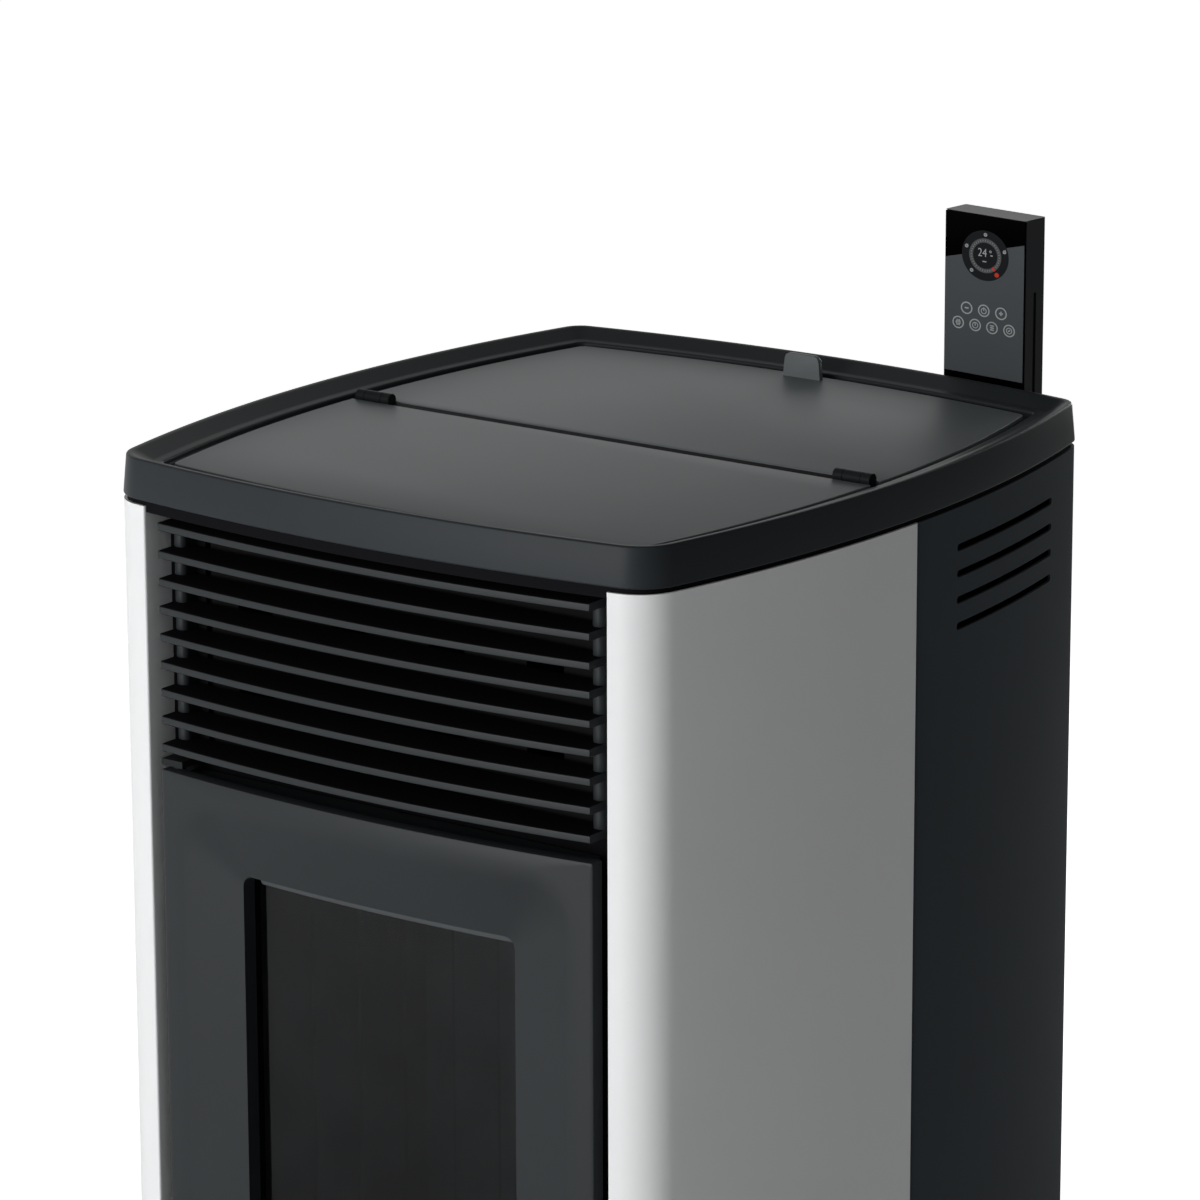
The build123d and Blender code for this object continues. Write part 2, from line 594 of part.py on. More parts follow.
# Hearth plate, refractory linings and the smoke baffle.
hearth = block(both(inner), inner_y, (HEARTH_Z, HEARTH_Z + HEARTH_T))
hearth -= block(both(POT_HALF + 2), (POT_Y - POT_HALF - 2, POT_Y + POT_HALF + 2), (0, TOP_Z))
for x in (-100, 100):
    hearth += block((x - 4, x + 4), (-200, -60), (FIRE_Z[0] + FIRE_T, HEARTH_Z))
save("hearth_plate", hearth)
RIB_COUNT = 7
lining_z = (HEARTH_Z + HEARTH_T, LINING_TOP)
lining_back_y = (inner_y[1] - LINING_T, inner_y[1])
lining = block(both(inner), lining_back_y, lining_z)
for rib in range(RIB_COUNT):
    x = (rib - (RIB_COUNT - 1) / 2) * 40
    lining -= block((x - 3, x + 3), (lining_back_y[0], lining_back_y[0] + 3), lining_z)
lining -= rod(CHUTE_R, chute_start, chute_end)
save("back_lining", lining)
side_lining = block((inner - LINING_T, inner), (fire_y[0] + 9, lining_back_y[0]), lining_z)
for rib in range(4):
    y = -210 + rib * 50
    side_lining -= block((inner - LINING_T, inner - LINING_T + 3), (y - 3, y + 3), lining_z)
save("side_linings", side_lining, mirror_x(side_lining))
save("smoke_baffle", block(both(inner), (-190, inner_y[1]), (LINING_TOP, LINING_TOP + 8)))

# Burn pot: square cup with a flange and air holes.
pot_top = HEARTH_Z + HEARTH_T
pot = Pos(0, POT_Y, 0) * block(both(POT_FLANGE_HALF), both(POT_FLANGE_HALF), (pot_top, pot_top + 5))
cup_outer = loft(
    [
        Pos(0, POT_Y, pot_top - POT_DEPTH) * Rectangle(76, 76),
        Pos(0, POT_Y, pot_top) * Rectangle(2 * POT_HALF, 2 * POT_HALF),
    ]
)
cup_inner = loft(
    [
        Pos(0, POT_Y, pot_top - POT_DEPTH + 5) * Rectangle(67, 67),
        Pos(0, POT_Y, pot_top + 5) * Rectangle(82, 82),
    ]
)
pot = pot + cup_outer - cup_inner
for x in (-22, 0, 22):
    for y in (-22, 0, 22):
        pot -= rod(3, (x, POT_Y + y, 300), (x, POT_Y + y, 370))
for x in (-24, -8, 8, 24):
    pot -= rod(2.5, (x, POT_Y - 60, pot_top - 18), (x, POT_Y + 60, pot_top - 18))
save("burn_pot", pot)
igniter = rod(6, (0, POT_Y + POT_HALF + 4, 372), (0, BULK_Y + BULK_T + 30, 372))
save("igniter", igniter)

# Hopper: straight bin over a tapering throat that saddles the auger tube.
flange = slab(LEDGE_END - 6, (HOPPER_TOP - SHEET, HOPPER_TOP))
flange &= block(both(300), (SPLIT_Y + 5, 400), (0, TOP_Z))


def bin_shape(grow):
    """Bin and throat, larger by grow all round."""
    half = HOPPER_HALF + grow
    y = (HOPPER_Y[0] - grow, HOPPER_Y[1] + grow)
    throat_y = (THROAT_Y[0] - grow, THROAT_Y[1] + grow)
    throat_half = THROAT_HALF + grow
    upper = block(both(half), y, (HOPPER_KNEE_Z, HOPPER_TOP))
    knee = Pos(0, sum(y) / 2, HOPPER_KNEE_Z) * Rectangle(2 * half, y[1] - y[0])
    neck = Pos(0, sum(throat_y) / 2, THROAT_Z) * Rectangle(2 * throat_half, throat_y[1] - throat_y[0])
    lower = block(both(throat_half), throat_y, (560, THROAT_Z))
    return upper + loft([neck, knee]) + lower


hopper = bin_shape(SHEET) + flange - bin_shape(0)
hopper -= rod(AUGER_TUBE_R, on_auger(-50), on_auger(260))
below = Plane(on_auger(0), x_dir=(1, 0, 0), z_dir=Vector(0, math.sin(TILT), math.cos(TILT)))
hopper -= extrude(below * Rectangle(200, 700), -200)
save("hopper", hopper)
seal_ring = block(both(HOPPER_HALF + 7), (HOPPER_Y[0] - 7, HOPPER_Y[1] + 3), (HOPPER_TOP, LEDGE_TOP))
seal_ring -= block(both(HOPPER_HALF + 1), (HOPPER_Y[0] - 1, HOPPER_Y[1] - 3), (0, 2 * TOP_Z))
save("hopper_seal", seal_ring)
grid_z = (HOPPER_KNEE_Z + 4, HOPPER_KNEE_Z + 8)
grid_rails = [
    block(both(HOPPER_HALF), (y, y + 6), grid_z) for y in (HOPPER_Y[0], HOPPER_Y[1] - 6)
]
grid_bars = [
    block((x - 2, x + 2), (HOPPER_Y[0] + 6, HOPPER_Y[1] - 6), grid_z)
    for x in [(bar - 4.5) * 30 for bar in range(10)]
]
save("hopper_grid", *grid_rails, *grid_bars)

# Auger tube, screw, gearmotor and the chute into the firebox.
auger_tube = rod(AUGER_TUBE_R, on_auger(0), on_auger(AUGER_L))
auger_tube -= rod(AUGER_TUBE_R - 2, on_auger(4), on_auger(AUGER_L + 1))
auger_tube -= rod(AUGER_SHAFT_R + RUN_GAP, on_auger(-1), on_auger(10))
auger_tube -= block(both(THROAT_HALF - 5), (THROAT_Y[0] + 4, THROAT_Y[1] - 14), (540, 700))
auger_tube -= rod(CHUTE_R - CHUTE_WALL, (0, 14, 640), chute_end)
save("auger_tube", auger_tube)
FLIGHT_T = 3.0
flight_len = AUGER_L - 30
flight_path = Helix(AUGER_PITCH, flight_len, AUGER_SHAFT_R)
flight_face = Plane(flight_path @ 0, x_dir=(1, 0, 0), z_dir=flight_path % 0) * (
    Pos((AUGER_R - AUGER_SHAFT_R) / 2, 0) * Rectangle(AUGER_R - AUGER_SHAFT_R + 1, FLIGHT_T)
)
flight = sweep(flight_face, path=flight_path, is_frenet=True)
screw = Cylinder(AUGER_SHAFT_R, flight_len + 8, align=(Align.CENTER, Align.CENTER, Align.MIN))
screw = Pos(0, 0, -4) * screw + flight
auger_plane = Plane(origin=on_auger(10), x_dir=(1, 0, 0), z_dir=auger_dir)
screw = auger_plane * screw
screw += rod(AUGER_SHAFT_R, on_auger(1), on_auger(AUGER_L + 10))
save("auger_screw", screw)
motor_plane = Plane(origin=on_auger(AUGER_L), x_dir=(1, 0, 0), z_dir=auger_dir)
motor = motor_plane * (Pos(0, 0, 15) * Box(64, 60, 30))
motor += rod(22, on_auger(AUGER_L + 30), on_auger(AUGER_L + 68))
motor -= rod(AUGER_SHAFT_R + RUN_GAP, on_auger(AUGER_L - 1), on_auger(AUGER_L + 12))
save("auger_gearmotor", motor)
chute = rod(CHUTE_R, chute_start, chute_end) - rod(CHUTE_R - CHUTE_WALL, chute_start, chute_end)
chute -= rod(AUGER_TUBE_R, on_auger(-40), on_auger(260))
chute = max(chute.solids(), key=lambda piece: piece.volume)
save("pellet_chute", chute)

# Air duct up the bulkhead to the tubes, split around the auger.
duct = block(both(DUCT_HALF), (BULK_Y + BULK_T, DUCT_REAR_Y), DUCT_Z)
duct -= block(
    both(DUCT_HALF - SHEET), (BULK_Y + BULK_T - 1, DUCT_REAR_Y - SHEET), (DUCT_Z[0] - 1, DUCT_Z[1] - SHEET)
)
duct += block(both(42), (BULK_Y + BULK_T, DUCT_REAR_Y), (520, 730))
duct -= block(both(42 - SHEET), (-100, 100), (520 + SHEET, 730 - SHEET))
save("air_duct", duct)

# Room air fan: drum with a neck into the duct, legs, and a bladed wheel inside.
fan_line = (ROOM_FAN_Y, ROOM_FAN_Z)


def room_drum(x, radius):
    return rod(radius, (x[0], *fan_line), (x[1], *fan_line))


neck = ((-88, 18), (-15, 17), (ROOM_FAN_Z + 30, DUCT_Z[0] + 4))
fan_housing = room_drum(ROOM_FAN_X, ROOM_FAN_R) + block(*neck)
fan_housing -= room_drum((ROOM_FAN_X[0] + 2, ROOM_FAN_X[1] - 2), ROOM_FAN_R - 2)
fan_housing -= block((-86, 16), (-13, 15), (ROOM_FAN_Z + 32, DUCT_Z[0] + 5))
fan_housing -= room_drum((ROOM_FAN_X[0] - 1, ROOM_FAN_X[1] + 1), 34)
for x in (ROOM_FAN_X[0] + 8, ROOM_FAN_X[1] - 8):
    leg = block((x - 6, x + 6), (ROOM_FAN_Y - 40, ROOM_FAN_Y + 40), (BASE_TOP, ROOM_FAN_Z - 30))
    fan_housing += leg - room_drum((-200, 200), ROOM_FAN_R - 1)
save("room_fan_housing", fan_housing)


def bladed_wheel(radius, width, blades):
    """Drum wheel on its back disc, axis along Z, with blades set at a slant."""
    wheel = Cylinder(radius, 2, align=(Align.CENTER, Align.CENTER, Align.MIN))
    wheel += Cylinder(12, width, align=(Align.CENTER, Align.CENTER, Align.MIN))
    rim_ring = Cylinder(radius, 2) - Cylinder(radius - 10, 2)
    wheel += Pos(0, 0, width - 1) * rim_ring
    blade = Pos(radius - 6, 0, width / 2) * Rot(0, 0, 35) * Box(10, 1.5, width)
    blade &= Cylinder(radius, 2 * width)
    for index in range(blades):
        wheel += Rot(0, 0, 360 / blades * index) * blade
    return wheel


BLADES = 14
FAN_SHAFT_R = 4.0
wheel_plane = Plane(origin=(ROOM_FAN_X[0] + 10, *fan_line), x_dir=(0, 1, 0), z_dir=(1, 0, 0))
room_wheel = wheel_plane * bladed_wheel(50, 100, BLADES)
room_wheel += room_drum((ROOM_FAN_X[1] - 12, ROOM_FAN_X[1] + 20), FAN_SHAFT_R)
save("room_fan_wheel", room_wheel)
room_motor = room_drum((ROOM_FAN_X[1], ROOM_FAN_X[1] + 34), 26)
room_motor += room_drum((ROOM_FAN_X[1], ROOM_FAN_X[1] + 4), 36)
room_motor -= room_drum((ROOM_FAN_X[1] - 1, ROOM_FAN_X[1] + 21), FAN_SHAFT_R + RUN_GAP)
save("room_fan_motor", room_motor)

# Smoke duct, smoke fan and flue collar.
SMOKE_Y = (120.0, 165.0)
SMOKE_R = 68.0
smoke_case = rod(SMOKE_R, (SMOKE_X, SMOKE_Y[0], SMOKE_Z), (SMOKE_X, SMOKE_Y[1], SMOKE_Z))
smoke_case += block((SMOKE_X - 48, SMOKE_X + 48), SMOKE_Y, (FLUE_Z - 48, SMOKE_Z))
smoke_case += rod(FLUE_R, (SMOKE_X, BULK_Y, SMOKE_Z), (SMOKE_X, SMOKE_Y[0], SMOKE_Z))
smoke_case -= rod(SMOKE_R - 3, (SMOKE_X, SMOKE_Y[0] + 3, SMOKE_Z), (SMOKE_X, SMOKE_Y[1] - 3, SMOKE_Z))
smoke_case -= block((SMOKE_X - 45, SMOKE_X + 45), (SMOKE_Y[0] + 3, SMOKE_Y[1] - 3), (FLUE_Z - 45, SMOKE_Z))
smoke_case -= rod(FLUE_R - 2, (SMOKE_X, BULK_Y - 1, SMOKE_Z), (SMOKE_X, SMOKE_Y[0] + 5, SMOKE_Z))
smoke_case -= rod(FLUE_R - 2, (SMOKE_X, SMOKE_Y[1] - 5, FLUE_Z), (SMOKE_X, SMOKE_Y[1] + 1, FLUE_Z))
smoke_case -= rod(FAN_SHAFT_R + 1, (SMOKE_X, SMOKE_Y[1] - 5, SMOKE_Z), (SMOKE_X, SMOKE_Y[1] + 1, SMOKE_Z))
for x in (SMOKE_X - 30, SMOKE_X + 30):
    smoke_case += block((x - 3, x + 3), SMOKE_Y, (BASE_TOP, FLUE_Z - 47))
save("smoke_fan_housing", smoke_case)
smoke_plane = Plane(origin=(SMOKE_X, SMOKE_Y[1] - 6, SMOKE_Z), x_dir=(1, 0, 0), z_dir=(0, -1, 0))
smoke_wheel = smoke_plane * bladed_wheel(58, 30, BLADES)
smoke_wheel += rod(FAN_SHAFT_R, (SMOKE_X, SMOKE_Y[1] - 10, SMOKE_Z), (SMOKE_X, SMOKE_Y[1] + 20, SMOKE_Z))
save("smoke_fan_wheel", smoke_wheel)
smoke_motor = rod(30, (SMOKE_X, SMOKE_Y[1], SMOKE_Z), (SMOKE_X, SMOKE_Y[1] + 55, SMOKE_Z))
bore = FAN_SHAFT_R + RUN_GAP
smoke_motor -= rod(bore, (SMOKE_X, SMOKE_Y[1] - 1, SMOKE_Z), (SMOKE_X, SMOKE_Y[1] + 21, SMOKE_Z))
save("smoke_fan_motor", smoke_motor)
collar = rod(FLUE_R, (SMOKE_X, SMOKE_Y[1], FLUE_Z), (SMOKE_X, FLUE_END_Y, FLUE_Z))
collar += rod(52, (SMOKE_X, BACK_Y + BACK_T, FLUE_Z), (SMOKE_X, BACK_Y + BACK_T + 2, FLUE_Z))
collar -= rod(FLUE_R - 2, (SMOKE_X, 100, FLUE_Z), (SMOKE_X, 400, FLUE_Z))
save("flue_collar", collar)
intake = rod(INTAKE_R, (INTAKE_X, BULK_Y, INTAKE_Z), (INTAKE_X, INTAKE_END_Y, INTAKE_Z))
intake += rod(34, (INTAKE_X, BACK_Y + BACK_T, INTAKE_Z), (INTAKE_X, BACK_Y + BACK_T + 2, INTAKE_Z))
intake -= rod(INTAKE_R - 2, (INTAKE_X, -100, INTAKE_Z), (INTAKE_X, 400, INTAKE_Z))
save("air_intake_pipe", intake)

# Electrics on the back: control box, mains inlet and its rocker switch.
save("control_box", block((-186, -90), (200, BACK_Y), (400, 560)))
back_y = BACK_Y + BACK_T
SOCKET_Z = INLET_Z - 11
inlet = block((INLET_X - 14, INLET_X + 14), (208, back_y), (INLET_Z - 24, INLET_Z + 24))
inlet += block((INLET_X - 25, INLET_X + 25), (back_y, back_y + 2.5), (INLET_Z - 27, INLET_Z + 27))
socket_face = RectangleRounded(24.5, 17, 3)
inlet -= Pos(INLET_X, 226, SOCKET_Z) * extrude(Plane.XZ * socket_face, -40)
for x, z in ((-7, 2), (0, -3), (7, 2)):
    inlet += Pos(INLET_X + x, 231.5, SOCKET_Z + z) * Box(2, 13, 4)
inlet -= block((INLET_X - 10.5, INLET_X + 10.5), (226, 300), (INLET_Z + 5, INLET_Z + 20))
save("mains_inlet", inlet)
ROCKER_Y = 236.0
ROCKER_Z = INLET_Z + 12.5
rocker_profile = Polyline(
    (ROCKER_Y - 4, ROCKER_Z - 5), (ROCKER_Y + 6.2, ROCKER_Z - 6.6), (ROCKER_Y + 5.4, ROCKER_Z),
    (ROCKER_Y + 7.8, ROCKER_Z + 4.6), (ROCKER_Y - 4, ROCKER_Z + 5), close=True,
)
rocker = Pos(INLET_X - 10, 0, 0) * extrude(Plane.YZ * make_face(rocker_profile), 20)
save("rocker_switch", rocker)

# Remote control, its glass front and the holder on the back.
remote_place = Pos(REMOTE_X, REMOTE_Y, 0) * Rot(0, 0, REMOTE_TURN)
remote_h = REMOTE_Z[1] - REMOTE_Z[0]
remote_face = RectangleRounded(REMOTE_W, REMOTE_T, 1.5)
remote = Pos(0, 0, REMOTE_Z[0]) * extrude(remote_face, remote_h)
remote -= block(both(50), (-20, -REMOTE_T / 2 + REMOTE_GLASS_T), (REMOTE_Z[0] + 10, REMOTE_Z[1] - 0.01))
for side in (-1, 1):
    groove_x = sorted((side * (REMOTE_W / 2 - 1.5), side * (REMOTE_W / 2 + 1)))
    remote -= block(groove_x, (-1, 2), (REMOTE_Z[0] - 1, REMOTE_Z[1] - 52))
save("remote_control", remote_place * remote)
glass = Box(REMOTE_W - 0.8, REMOTE_GLASS_T, remote_h - 10.8, align=(Align.CENTER, Align.MIN, Align.MIN))
save("remote_glass", remote_place * Pos(0, -REMOTE_T / 2, REMOTE_Z[0] + 10) * glass)
HOLDER_Z = (1003.0, RIM_BOTTOM - 3)
holder = remote_place * block(both(REMOTE_W / 2 + 4), both(REMOTE_T / 2 + 4), HOLDER_Z)
arm = block((REMOTE_X - 20, REMOTE_X + 20), (BACK_Y + BACK_T, REMOTE_Y), HOLDER_Z)
holder += arm
holder -= remote_place * block(both(REMOTE_W / 2 + 0.5), both(REMOTE_T / 2 + 0.5), (REMOTE_Z[0], TOP_Z))
save("remote_holder", holder)
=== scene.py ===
import math

import bmesh
import bpy
from mathutils import Matrix, Vector


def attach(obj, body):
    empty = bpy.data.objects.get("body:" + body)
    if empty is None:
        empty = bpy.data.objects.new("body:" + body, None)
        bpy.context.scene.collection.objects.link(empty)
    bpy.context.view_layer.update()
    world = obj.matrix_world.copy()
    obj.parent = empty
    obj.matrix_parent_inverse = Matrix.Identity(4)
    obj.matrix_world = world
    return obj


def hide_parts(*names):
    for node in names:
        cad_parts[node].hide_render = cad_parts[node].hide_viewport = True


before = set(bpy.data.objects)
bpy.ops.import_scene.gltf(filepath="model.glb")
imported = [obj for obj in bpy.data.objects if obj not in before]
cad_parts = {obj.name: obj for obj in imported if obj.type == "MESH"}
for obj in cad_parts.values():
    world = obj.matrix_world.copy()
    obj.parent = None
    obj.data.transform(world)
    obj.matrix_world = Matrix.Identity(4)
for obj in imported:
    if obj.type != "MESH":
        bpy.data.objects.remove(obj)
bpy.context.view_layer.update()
MM = 0.001

# Base plate and levelling feet. The base is one pressed steel plate, painted black, that
# the whole casing stands on. Each foot is a moulded pad with a plain stem, which stands for
# a screw in the nut that is welded to the plate.


def painted(name, colour, roughness, grain=0.9, depth=0.035, mottle=0.05, shine=0.06):
    """Powder coat: an even colour with a fine orange-peel surface and a faint cloudiness."""
    material = bpy.data.materials.new(name)
    material.use_nodes = True
    nodes = material.node_tree.nodes
    links = material.node_tree.links
    shader = nodes["Principled BSDF"]
    shader.inputs["Specular IOR Level"].default_value = shine
    place = nodes.new("ShaderNodeTexCoord")
    peel = nodes.new("ShaderNodeTexNoise")
    peel.inputs["Scale"].default_value = 1 / (grain * MM)
    peel.inputs["Detail"].default_value = 2
    bump = nodes.new("ShaderNodeBump")
    bump.inputs["Strength"].default_value = 0.6
    bump.inputs["Distance"].default_value = depth * MM
    cloud = nodes.new("ShaderNodeTexNoise")
    cloud.inputs["Scale"].default_value = 9
    cloud.inputs["Detail"].default_value = 3
    tone = nodes.new("ShaderNodeValToRGB")
    tone.color_ramp.elements[0].position = 0.3
    tone.color_ramp.elements[1].position = 0.7
    tone.color_ramp.elements[0].color = (*[c * (1 - mottle) for c in colour], 1)
    tone.color_ramp.elements[1].color = (*[min(c * (1 + mottle), 1) for c in colour], 1)
    polish = nodes.new("ShaderNodeMapRange")
    polish.inputs["To Min"].default_value = roughness - 0.04
    polish.inputs["To Max"].default_value = roughness + 0.04
    links.new(place.outputs["Object"], peel.inputs["Vector"])
    links.new(place.outputs["Object"], cloud.inputs["Vector"])
    links.new(peel.outputs["Fac"], bump.inputs["Height"])
    links.new(bump.outputs["Normal"], shader.inputs["Normal"])
    links.new(cloud.outputs["Fac"], tone.inputs["Fac"])
    links.new(tone.outputs["Color"], shader.inputs["Base Color"])
    links.new(cloud.outputs["Fac"], polish.inputs["Value"])
    links.new(polish.outputs["Result"], shader.inputs["Roughness"])
    return material


def dress(material, *names):
    """Give CAD nodes whose shape stays a finished surface."""
    for name in names:
        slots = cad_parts[name].data.materials
        slots.clear()
        slots.append(material)


def fitted(name, mesh, material, body, slot, *replaced, crease=35):
    """Turn a finished bmesh into a piece in its place, riding on its body."""
    data = bpy.data.meshes.new(name)
    mesh.to_mesh(data)
    mesh.free()
    data.materials.append(material)
    piece = bpy.data.objects.new(name, data)
    bpy.context.scene.collection.objects.link(piece)
    data.shade_smooth()
    data.set_sharp_from_angle(angle=math.radians(crease))
    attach(piece, body)
    for node in replaced:
        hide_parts(node)
    return piece


def turned(mesh, outline, centre, axis, steps=48):
    """Lathe a closed outline of (radius, height) points, in mm, about an axis through centre."""
    axis = Vector(axis).normalized()
    out = axis.orthogonal().normalized()
    points = [mesh.verts.new(Vector(centre) * MM + out * r * MM + axis * h * MM) for r, h in outline]
    edges = [mesh.edges.new((a, b)) for a, b in zip(points, points[1:] + points[:1])]
    bmesh.ops.spin(
        mesh, geom=edges + points, cent=Vector(centre) * MM, axis=axis, angle=math.tau,
        steps=steps, use_merge=True,
    )
    bmesh.ops.remove_doubles(mesh, verts=mesh.verts, dist=0.01 * MM)
    bmesh.ops.recalc_face_normals(mesh, faces=mesh.faces)


base_paint = painted("base paint", (0.010, 0.011, 0.012), 0.50)
foot_moulding = painted("foot moulding", (0.014, 0.014, 0.015), 0.62, grain=1.6, depth=0.05)
dress(base_paint, "base_plate")
for place, x, y in (
    ("front_left", -180, -190), ("front_right", 180, -190),
    ("rear_left", -180, 190), ("rear_right", 180, 190),
):
    foot = bmesh.new()
    pad = [
        (0.01, 0), (20.5, 0), (21.6, 0.5), (22, 1.6), (22, 4.2), (21.2, 5.6), (13, 11.6), (11.4, 13),
        (11, 14.6), (11, 18), (5, 18), (5, 57), (4, 58), (0.01, 58),
    ]
    turned(foot, pad, (x, y, 0), (0, 0, 1))
    fitted(f"foot_{place}_pad", foot, foot_moulding, f"foot_{place}", "foot_rubber", f"foot_{place}")

# Inner frame: angle posts, front frame plate and bulkhead. All are cut and folded from
# steel sheet. The front plate and the posts are painted black, because they show round the
# door and through the vents, and this black is also a painted shade for the dark inside
# there; the bulkhead is left galvanised.


def zinc(name, colour, roughness, spangle=9.0):
    """Galvanised or plain rolled sheet: bright metal with soft crystal patches."""
    material = bpy.data.materials.new(name)
    material.use_nodes = True
    nodes = material.node_tree.nodes
    links = material.node_tree.links
    shader = nodes["Principled BSDF"]
    shader.inputs["Metallic"].default_value = 1.0
    place = nodes.new("ShaderNodeTexCoord")
    crystal = nodes.new("ShaderNodeTexVoronoi")
    crystal.inputs["Scale"].default_value = 1 / (spangle * MM)
    rolled = nodes.new("ShaderNodeTexNoise")
    rolled.inputs["Scale"].default_value = 60
    rolled.inputs["Detail"].default_value = 4
    tone = nodes.new("ShaderNodeValToRGB")
    tone.color_ramp.elements[0].color = (*[c * 0.86 for c in colour], 1)
    tone.color_ramp.elements[1].color = (*[c * 1.08 for c in colour], 1)
    polish = nodes.new("ShaderNodeMapRange")
    polish.inputs["To Min"].default_value = roughness - 0.07
    polish.inputs["To Max"].default_value = roughness + 0.07
    links.new(place.outputs["Object"], crystal.inputs["Vector"])
    links.new(place.outputs["Object"], rolled.inputs["Vector"])
    links.new(crystal.outputs["Color"], tone.inputs["Fac"])
    links.new(tone.outputs["Color"], shader.inputs["Base Color"])
    links.new(rolled.outputs["Fac"], polish.inputs["Value"])
    links.new(polish.outputs["Result"], shader.inputs["Roughness"])
    return material


galvanised = zinc("galvanised sheet", (0.42, 0.43, 0.44), 0.42)
frame_and_shade_black = painted("frame and shade black", (0.005, 0.005, 0.006), 0.60, shine=0.02)
dress(galvanised, "bulkhead")
dress(frame_and_shade_black, "front_frame", "corner_posts")

# Firebox with its hearth, burn pot and linings. The box and the exchanger tubes are welded
# steel, blued and blackened by heat, and their near-black is also a painted shade for the
# inside seen through the vents; hearth plate and pot are cast iron, and the linings
# and baffle are pressed vermiculite boards that lift out.


def scorched(name, colour, roughness, metallic, pit=2.2, depth=0.25, soot=0.55):
    """Rough heat-worn surface: cast skin or pressed board, darker where soot settles."""
    material = bpy.data.materials.new(name)
    material.use_nodes = True
    nodes = material.node_tree.nodes
    links = material.node_tree.links
    shader = nodes["Principled BSDF"]
    shader.inputs["Metallic"].default_value = metallic
    shader.inputs["Roughness"].default_value = roughness
    shader.inputs["Specular IOR Level"].default_value = 0.1
    place = nodes.new("ShaderNodeTexCoord")
    skin = nodes.new("ShaderNodeTexNoise")
    skin.inputs["Scale"].default_value = 1 / (pit * MM)
    skin.inputs["Detail"].default_value = 5
    bump = nodes.new("ShaderNodeBump")
    bump.inputs["Strength"].default_value = 0.7
    bump.inputs["Distance"].default_value = depth * MM
    smoke = nodes.new("ShaderNodeTexNoise")
    smoke.inputs["Scale"].default_value = 14
    smoke.inputs["Detail"].default_value = 5
    tone = nodes.new("ShaderNodeValToRGB")
    tone.color_ramp.elements[0].position = 0.35
    tone.color_ramp.elements[1].position = 0.65
    tone.color_ramp.elements[0].color = (*[c * soot for c in colour], 1)
    tone.color_ramp.elements[1].color = (*colour, 1)
    links.new(place.outputs["Object"], skin.inputs["Vector"])
    links.new(place.outputs["Object"], smoke.inputs["Vector"])
    links.new(skin.outputs["Fac"], bump.inputs["Height"])
    links.new(bump.outputs["Normal"], shader.inputs["Normal"])
    links.new(smoke.outputs["Fac"], tone.inputs["Fac"])
    links.new(tone.outputs["Color"], shader.inputs["Base Color"])
    return material


heated_and_shade_steel = scorched("heated and shade steel", (0.007, 0.0068, 0.0066), 0.66, 0.1, depth=0.06)
cast_iron = scorched("cast iron", (0.050, 0.048, 0.047), 0.65, 0.5)
vermiculite = scorched("vermiculite board", (0.40, 0.36, 0.30), 0.9, 0.0, pit=6.0, depth=0.05, soot=0.75)
dress(heated_and_shade_steel, "firebox", "exchanger_tubes", "igniter")
dress(cast_iron, "burn_pot", "hearth_plate")
dress(vermiculite, "back_lining", "side_linings", "smoke_baffle")

# Fuel side: hopper, its finger grid and foam seal, auger tube with screw and gearmotor,
# and the chute into the firebox. The hopper is painted dark, and this dark is also a painted
# shade for the inside seen through the side vents; the rest is folded zinc sheet, a bright
# welded screw, and a motor in a die-cast gear case.
bright_steel = zinc("bright steel", (0.52, 0.52, 0.53), 0.30, spangle=30)
motor_casting = zinc("motor casting", (0.33, 0.34, 0.35), 0.50, spangle=3)
seal_foam = painted("seal foam", (0.020, 0.020, 0.020), 0.85, grain=0.8, depth=0.12)
hopper_coat = painted("hopper coat", (0.022, 0.023, 0.024), 0.55, shine=0.02)
dress(hopper_coat, "hopper")
dress(galvanised, "hopper_grid", "auger_tube", "pellet_chute")
dress(bright_steel, "auger_screw")
dress(motor_casting, "auger_gearmotor")
dress(seal_foam, "hopper_seal")

# Air side: the duct behind the bulkhead, the room fan and the smoke fan in their sheet
# housings with pressed blade wheels, and the two pipe ends on the back, which are
# stovepipe steel in heat-proof black.
dress(galvanised, "air_duct", "room_fan_housing", "smoke_fan_housing")
dress(bright_steel, "room_fan_wheel", "smoke_fan_wheel")
dress(motor_casting, "room_fan_motor", "smoke_fan_motor")
stovepipe = painted("stovepipe paint", (0.013, 0.013, 0.014), 0.72, grain=0.6, depth=0.05)
BACK_FACE = 240
collar = bmesh.new()
collar_outline = [
    (38, -75), (40, -75), (40, 0), (51.4, 0), (52, 0.6), (52, 1.4), (51.4, 2), (40, 2),
    (40, 46.9), (39.6, 48.3), (39, 48.7), (38, 48.1),
]
turned(collar, collar_outline, (105, BACK_FACE, 150), (0, 1, 0), steps=72)
fitted("flue_collar_pipe", collar, stovepipe, "stove", "pipe_black", "flue_collar")
intake = bmesh.new()
intake_outline = [
    (23, -262), (25, -262), (25, 0), (33.5, 0), (34, 0.6), (34, 1.4), (33.5, 2), (25, 2),
    (25, 43.6), (24.6, 44.7), (24, 45), (23, 44.6),
]
turned(intake, intake_outline, (-140, BACK_FACE, 230), (0, 1, 0), steps=60)
fitted("air_intake", intake, stovepipe, "stove", "pipe_black", "air_intake_pipe")

# Electrics: the control box on the inside of the back, and the mains inlet in a cut-out of
# the back, with its rocker switch. All are moulded plastic, and the rocker has two flat
# halves that meet in a shallow hollow.
moulded_black = painted("moulded plastic", (0.018, 0.020, 0.022), 0.38, grain=0.5, depth=0.02, shine=0.2)
dress(moulded_black, "control_box", "mains_inlet", "rocker_switch")

